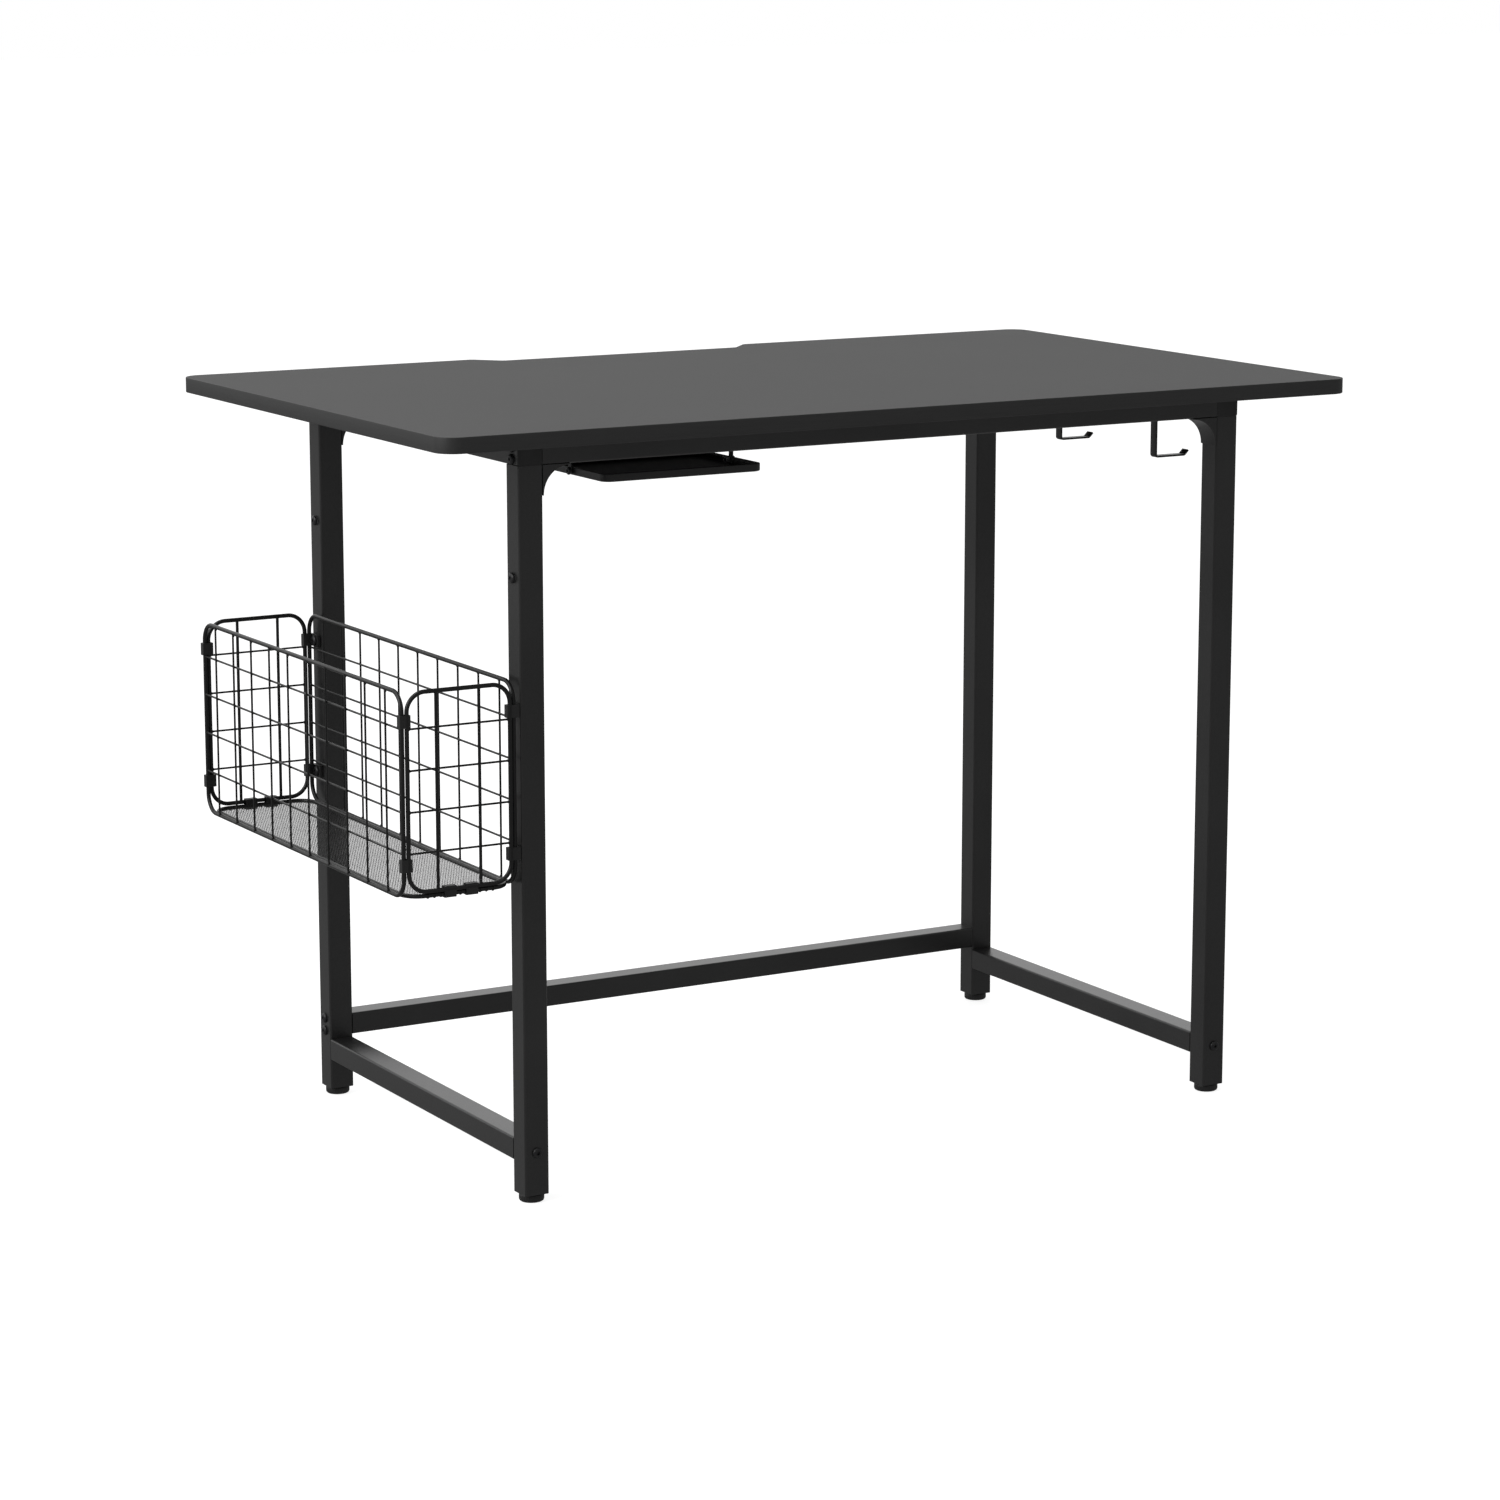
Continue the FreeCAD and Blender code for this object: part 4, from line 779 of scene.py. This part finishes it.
bolt_key = hexagon_key(3 * MM)
board_key = cross_key(2.0 * MM, 0.45 * MM)
small_key = cross_key(1.7 * MM, 0.4 * MM)
fastener_piece("rail_corner_bolts", "corner_bolts", bolt_key, 1.6 * MM)
fastener_piece("rear_stretcher_bolts", "stretcher_bolts", bolt_key, 1.6 * MM)
fastener_piece("side_rail_bolts", "low_rail_bolts", bolt_key, 1.6 * MM)
fastener_piece("basket_clip_bolts", "basket_bolts", bolt_key, 1.6 * MM)
fastener_piece("spare_bolts", "spare_hole_bolts", bolt_key, 1.6 * MM)
fastener_piece("tray_pivots", "tray_pivot_screws", bolt_key, 1.4 * MM, body="tray")
fastener_piece("board_screws", "desktop_screws", board_key, 1.3 * MM, POINT)
fastener_piece("hook_fixings", "hook_screws", small_key, 1.1 * MM, POINT)
fastener_piece("hanger_fixings", "tray_hanger_screws", small_key, 1.1 * MM, POINT)


# ---------------------------------------------------------------- hooks

HOOK_THICK = 2 * MM
HOOK_ARM = 36.7 * MM
HOOK_TIP = 7 * MM
HOOK_BEND = 2.5 * MM
HOOK_LEAN = math.radians(45)
HOOK_EASE = 0.45 * MM
HOOK_END = 0.1 * MM


def hook_pieces():
    """Strap hooks: a rounded rectangle carried along the strap's middle line.

    The line goes down the rail's side, out along the arm and up the leaning tip, with an arc at
    each bend. The middle line turns half a thickness inside the strap's outer faces.
    """
    for end in ("front", "rear"):
        node = f"headset_hook_{end}"
        low, high = box(node)
        width = high[1] - low[1]
        half = HOOK_THICK / 2
        out, rise = HOOK_TIP * math.cos(HOOK_LEAN), HOOK_TIP * math.sin(HOOK_LEAN)
        elbow = low[0] + HOOK_ARM - half * math.tan(HOOK_LEAN / 2)
        tip_x = low[0] + HOOK_ARM + out - half * math.sin(HOOK_LEAN)
        tip_z = low[2] + rise + half * math.cos(HOOK_LEAN)
        corners = [(low[0] + half, high[2]), (low[0] + half, low[2] + half),
                   (elbow, low[2] + half), (tip_x, tip_z)]
        line = bent_line(corners, [HOOK_END, HOOK_BEND, HOOK_BEND, HOOK_END], steps=12)
        centre_y = np.full(len(line), (low[1] + high[1]) / 2)
        path = np.stack([line[:, 0], centre_y, line[:, 1]], axis=1)
        bar = strip(path, width, HOOK_THICK, (0, 1, 0), HOOK_EASE)
        piece(f"strap_hook_{end}", [bar], FINISHES["accessory_steel"], [node],
              crease=40)


hook_pieces()


# ---------------------------------------------------------------- tray and its hangers

TRAY_WALL = 1.5 * MM
TRAY_FLOOR = 1.2 * MM
TRAY_ROUND = 10 * MM
TRAY_UNDER = 1.4 * MM
TRAY_FILLET = 1.1 * MM


def tray_piece():
    """The tray: one profile carried round its outline, from the middle of its underside, up the
    wall, over the rounded rim and down into the filleted floor."""
    low, high = box("accessory_tray")
    centre = (low + high) / 2
    width, depth = high[0] - low[0], high[1] - low[1]
    points, outward = rectangle_outline(width, depth, TRAY_ROUND, ARC_STEPS)
    outline = (points + centre[:2], outward)
    rim = TRAY_WALL / 2
    inside = (-TRAY_WALL - TRAY_FILLET, low[2] + TRAY_FLOOR + TRAY_FILLET)
    profile = np.concatenate([
        quarter((-TRAY_UNDER, low[2] + TRAY_UNDER), TRAY_UNDER, -90, steps=7),
        quarter((-rim, high[2] - rim), rim, 0, steps=6),
        quarter((-rim, high[2] - rim), rim, 90, steps=6)[1:],
        quarter(inside, TRAY_FILLET, -90, steps=6)[::-1],
    ])
    piece("pen_tray", [around(outline, profile)], FINISHES["accessory_steel"],
          ["accessory_tray"], body="tray", crease=40)


tray_piece()


HANGER_THICK = 2 * MM
HANGER_WIDTH = 6 * MM
HANGER_TOE = 2.6 * MM
HANGER_EASE = 0.3 * MM
FLANGE_ROUND = 1.5 * MM


def hanger_pieces():
    """Tray hangers: an upright plate that ends round at the pivot, and a flat screw flange.

    The strap's outline is drawn flat, with across as its X and up as its Y, and then stood up.
    """
    for side in ("left", "right"):
        node = f"tray_hanger_{side}"
        low, high = box(node)
        outwards = -1 if side == "left" else 1
        inner_x = high[0] if outwards < 0 else low[0]
        centre_y = (low[1] + high[1]) / 2
        height = high[2] - low[2]
        half = HANGER_WIDTH / 2
        corners = [(-half, -height), (half, -height), (half, 0), (-half, 0)]
        radii = [HANGER_TOE, HANGER_TOE, HANGER_EASE, HANGER_EASE]
        points, faces = slab(rounded_outline(corners, radii), 0, HANGER_THICK, HANGER_EASE)
        upright = np.stack([inner_x + outwards * points[:, 2], centre_y + points[:, 0],
                            high[2] + points[:, 1]], axis=1)
        length, breadth = high[0] - low[0], high[1] - low[1]
        line, outward = rectangle_outline(length, breadth, FLANGE_ROUND)
        placed = line + np.array([(low[0] + high[0]) / 2, centre_y])
        flange = slab((placed, outward), high[2] - HANGER_THICK, high[2], HANGER_EASE)
        piece(f"tray_strap_{side}", [turned_outwards((upright, faces)), flange],
              FINISHES["accessory_steel"], [node])


hanger_pieces()


# ---------------------------------------------------------------- wire basket

RIM_WIRE = 4.2 * MM
GRID_WIRE = 2 * MM
END_WIRE = 3 * MM
RIM_ROUND = 18 * MM
ACROSS_PITCH = 43.3 * MM
UP_PITCH = 38.4 * MM
FIRST_DOWN = 33.2 * MM
SET_DOWN = 0.4 * MM
LEVEL_WIRES = 4
LONG_BARS = 10
END_BARS = 2
RIM_SIDES = 20
BEAD_FLAT = 0.62 * GRID_WIRE
BEAD_DEEP = 0.8 * GRID_WIRE
RIM_BEAD = 0.75 * GRID_WIRE
RIM_BEAD_OUT = 0.8


def rim_path(width, height):
    """The centre line of a rounded-rectangle rim."""
    return rectangle_outline(width, height, RIM_ROUND, steps=16)[0]


def panel_piece(name, node, across_axis, bars, bar_wire, bar_way):
    """A welded panel: rim, upright bars, level wires, and a bead of weld at each crossing.

    The rim is a round wire carried round a rounded rectangle. Bar i stands i pitches along from
    the first, with all of them centred, and is set down a little into the level wires. Level
    wire j lies j pitches under the first.
    """
    low, high = box(node)
    thin_axis = 1 - across_axis
    width = high[across_axis] - low[across_axis] - RIM_WIRE
    height = high[2] - low[2] - RIM_WIRE
    top = high[2] - RIM_WIRE / 2
    base = low[2] + RIM_WIRE / 2
    centre_across = (low[across_axis] + high[across_axis]) / 2
    plane = low[thin_axis] + RIM_WIRE / 2 if bar_way > 0 else high[thin_axis] - RIM_WIRE / 2

    def spot(across, out, z):
        """Points from their place across the panel, out of its plane, and height."""
        across, out, z = np.broadcast_arrays(across, out, z)
        points = np.empty(across.shape + (3,))
        points[..., across_axis] = centre_across + across
        points[..., thin_axis] = plane + out
        points[..., 2] = z
        return points

    out_of_plane = np.zeros(3)
    out_of_plane[thin_axis] = 1
    line = rim_path(width, height)
    rim = spot(line[:, 0], 0.0, (top + base) / 2 + line[:, 1])
    parts = [rod(rim, RIM_WIRE / 2, out_of_plane, closed=True, sides=RIM_SIDES)]
    offset = bar_way * ((GRID_WIRE + bar_wire) / 2 - SET_DOWN)
    bar_at = (np.arange(bars) - (bars - 1) / 2) * ACROSS_PITCH
    level_at = top - FIRST_DOWN - np.arange(LEVEL_WIRES) * UP_PITCH
    parts += rods(spot(bar_at, offset, base), spot(bar_at, offset, top), bar_wire / 2)
    parts += rods(spot(-width / 2, 0.0, level_at), spot(width / 2, 0.0, level_at), GRID_WIRE / 2)
    cross_across, cross_level = np.meshgrid(bar_at, level_at)
    bead = np.full(3, BEAD_FLAT)
    bead[thin_axis] = BEAD_DEEP
    parts += beads(spot(cross_across.ravel(), offset / 2, cross_level.ravel()), bead)
    rim_bead = np.full(3, RIM_BEAD)
    beside_rim = (width - RIM_WIRE) / 2
    parts += beads(spot(np.repeat([-beside_rim, beside_rim], LEVEL_WIRES), 0.0,
                        np.tile(level_at, 2)), rim_bead)
    parts += beads(spot(np.tile(bar_at, 2), offset * RIM_BEAD_OUT,
                        np.repeat([base + RIM_WIRE / 2, top - RIM_WIRE / 2], bars)), rim_bead)
    piece(name, parts, FINISHES["basket_wire"], [node], crease=50)


panel_piece("basket_side_outer", "basket_panel_outer", 1, LONG_BARS, GRID_WIRE, -1)
panel_piece("basket_side_inner", "basket_panel_inner", 1, LONG_BARS, GRID_WIRE, 1)
panel_piece("basket_end_front", "basket_panel_front", 0, END_BARS, END_WIRE, 1)
panel_piece("basket_end_rear", "basket_panel_rear", 0, END_BARS, END_WIRE, -1)


def ring_piece():
    """The wire ring under the basket: a round wire carried round a rounded rectangle."""
    low, high = box("basket_base_ring")
    centre = (low + high) / 2
    line = rim_path(high[0] - low[0] - RIM_WIRE, high[1] - low[1] - RIM_WIRE)
    path = np.column_stack([line + centre[:2], np.full(len(line), centre[2])])
    ring = rod(path, RIM_WIRE / 2, (0, 0, 1), closed=True, sides=RIM_SIDES)
    piece("basket_ring", [ring], FINISHES["basket_wire"], ["basket_base_ring"])


ring_piece()


MESH_LONG = 5.2 * MM
MESH_SHORT = 2.7 * MM
STRAND_WIDE = 0.5 * MM
STRAND_THICK = 0.3 * MM
HEM_PITCH = 6.6 * MM
HEM_WIRE = 1 * MM
HEM_OUT = 0.35 * MM
HEM_SLANT = 2 * MM
HEM_FROM, HEM_TO = math.radians(-215), math.radians(35)


def strand_surfaces(centre, half_w, half_l):
    """The strands of the expanded metal: flat ribbons that zigzag along the basket.

    Strand i has its middle at i * half the short pitch. Its point j lies j * half the long
    pitch along, and a quarter of the short pitch to one side or the other in turn. It ends on
    the ring, whose half length at a distance from the middle is the straight part plus the
    height of the corner's arc there.
    """
    wide = np.array([STRAND_WIDE / 2, 0, 0])
    thick = np.array([0, 0, STRAND_THICK / 2])
    section = np.array([-wide - thick, wide - thick, wide + thick, -wide + thick])
    rows = int(half_w / (MESH_SHORT / 2))
    parts = []
    for row in range(-rows, rows + 1):
        x = row * MESH_SHORT / 2
        into_corner = max(abs(x) - (half_w - RIM_ROUND), 0)
        reach = half_l - RIM_ROUND + math.sqrt(max(RIM_ROUND ** 2 - into_corner ** 2, 0))
        count = int(reach / (MESH_LONG / 2))
        step = np.arange(-count, count + 1)
        sway = np.where((step + row) % 2 == 0, 1.0, -1.0) * MESH_SHORT / 4
        across = x + np.concatenate([[0.0], sway, [0.0]])
        along = np.concatenate([[-reach], step * MESH_LONG / 2, [reach]])
        path = centre + np.column_stack([across, along, np.zeros(len(along))])
        parts.append(turned_outwards(stack(path[:, None, :] + section[None, :, :])))
    return parts


def hem_surfaces(centre, half_w, half_l):
    """Hooked strand ends: thin wires bent round the outside of the ring's short sides, each an
    arc about the ring's wire that also moves a little sideways."""
    turn = np.linspace(HEM_FROM, HEM_TO, 12)
    slant = np.linspace(-HEM_SLANT / 2, HEM_SLANT / 2, len(turn))
    reach = RIM_WIRE / 2 + HEM_OUT
    hooks = int((half_w - RIM_ROUND) / HEM_PITCH)
    parts = []
    for way in (-1, 1):
        for hook in range(-hooks, hooks + 1):
            path = centre + np.column_stack([hook * HEM_PITCH + slant,
                                             way * (half_l + reach * np.cos(turn)),
                                             reach * np.sin(turn)])
            parts.append(rod(path, HEM_WIRE / 2, (1, 0, 0), sides=8))
    return parts


def mesh_piece():
    """The basket's floor: expanded metal, hooked round the ring at its short sides."""
    low, high = box("basket_base_ring")
    centre = (low + high) / 2
    half_w = (high[0] - low[0] - RIM_WIRE) / 2
    half_l = (high[1] - low[1] - RIM_WIRE) / 2
    parts = strand_surfaces(centre, half_w, half_l) + hem_surfaces(centre, half_w, half_l)
    piece("basket_floor_mesh", parts, FINISHES["basket_mesh"], ["basket_base_mesh"])


mesh_piece()


# ---------------------------------------------------------------- floor, light and camera

FLOOR_SIZE = 60.0
FLOOR_DROP = 0.5 * MM
FLOOR_GLOW = 0.85
DIM_SIDE = 0.36
BRIGHT_BACK = 1.15
BRIGHT_ABOVE = 0.3
BACK_RANGE = (-0.1, 0.75)
ABOVE_RANGE = (0.2, 0.95)
RISEN_RANGE = (-0.03, 0.06)
CAMERA_AT = Vector((-2.1358, -3.7019, 1.1846))
CAMERA_ALONG = Vector((0.4896, 0.8507, -0.1910))
CAMERA_LENS = 103.39
SENSOR = 36.0


def floor_piece():
    """A pale floor, far wider than the view, with a glow of its own that keeps shadows faint.

    It is a flat grid. It doesn't show in reflections, which keeps the frame's faces dark.
    """
    material, maker, where = new_finish("pale_floor")
    dust = maker.noise(where, 3, 3)
    surface(material, maker, {"Base Color": dust.blend(grey(0.30), grey(0.34)), "Roughness": 0.9,
                              "Specular IOR Level": 0.1, "Emission Color": grey(1.0),
                              "Emission Strength": FLOOR_GLOW})
    count = 4
    side = np.linspace(-FLOOR_SIZE / 2, FLOOR_SIZE / 2, count)
    x, y = np.meshgrid(side, side)
    points = np.stack([x, y, np.full_like(x, -FLOOR_DROP)], axis=-1).reshape(-1, 3)
    mesh = bpy.data.meshes.new("floor")
    mesh.from_pydata(points.tolist(), [], grid_faces(count, count, wrap_columns=False).tolist())
    mesh.materials.append(material)
    thing = bpy.data.objects.new("floor", mesh)
    thing.visible_glossy = False
    bpy.context.scene.collection.objects.link(thing)


def studio_world():
    """White to the eye. Its light is dim all round, plus a bright part that comes from behind the
    desk and above the horizon, plus a part from overhead."""
    world = bpy.data.worlds.new("studio")
    world.use_nodes = True
    tree = world.node_tree
    tree.nodes.clear()
    maker = Signal(tree)
    direction = maker.node("ShaderNodeTexCoord", output="Generated")
    depth = maker.node("ShaderNodeSeparateXYZ", None, {"Vector": direction}, output="Y")
    height = maker.node("ShaderNodeSeparateXYZ", None, {"Vector": direction}, output="Z")
    back = depth.between(*BACK_RANGE)
    above = height.between(*ABOVE_RANGE)
    risen = height.between(*RISEN_RANGE)
    strength = back * risen * BRIGHT_BACK + above * BRIGHT_ABOVE + DIM_SIDE
    light = maker.node("ShaderNodeBackground", None, {"Strength": strength})
    seen = maker.node("ShaderNodeBackground", None, {"Color": grey(1.0), "Strength": 1.0})
    to_eye = maker.node("ShaderNodeLightPath", output="Is Camera Ray")
    mixed = maker.node("ShaderNodeMixShader", None, {0: to_eye, 1: light, 2: seen})
    maker.node("ShaderNodeOutputWorld", None, {"Surface": mixed})
    bpy.context.scene.world = world


def soft_light(name, at, towards, size, power):
    """A square soft box at a place, aimed at another."""
    lamp = bpy.data.lights.new(name, "AREA")
    lamp.shape = "SQUARE"
    lamp.size = size
    lamp.energy = power
    thing = bpy.data.objects.new(name, lamp)
    thing.location = at
    thing.rotation_euler = (Vector(towards) - Vector(at)).to_track_quat("-Z", "Y").to_euler()
    bpy.context.scene.collection.objects.link(thing)


def studio_camera():
    """The camera in front of the desk's left half, looking a little down."""
    scene = bpy.context.scene
    scene.view_settings.view_transform = "Standard"
    lens = bpy.data.cameras.new("camera")
    lens.lens = CAMERA_LENS
    lens.sensor_width = SENSOR
    camera = bpy.data.objects.new("camera", lens)
    camera.location = CAMERA_AT
    camera.rotation_euler = CAMERA_ALONG.to_track_quat("-Z", "Y").to_euler()
    scene.collection.objects.link(camera)
    scene.camera = camera


floor_piece()
soft_light("overhead_box", at=(-0.8, 0.0, 3.5), towards=(-0.1, 0, 0.4), size=2.2, power=45)
soft_light("left_box", at=(-3.0, -0.3, 1.9), towards=(-0.4, 0, 0.4), size=1.6, power=60)
studio_world()
studio_camera()
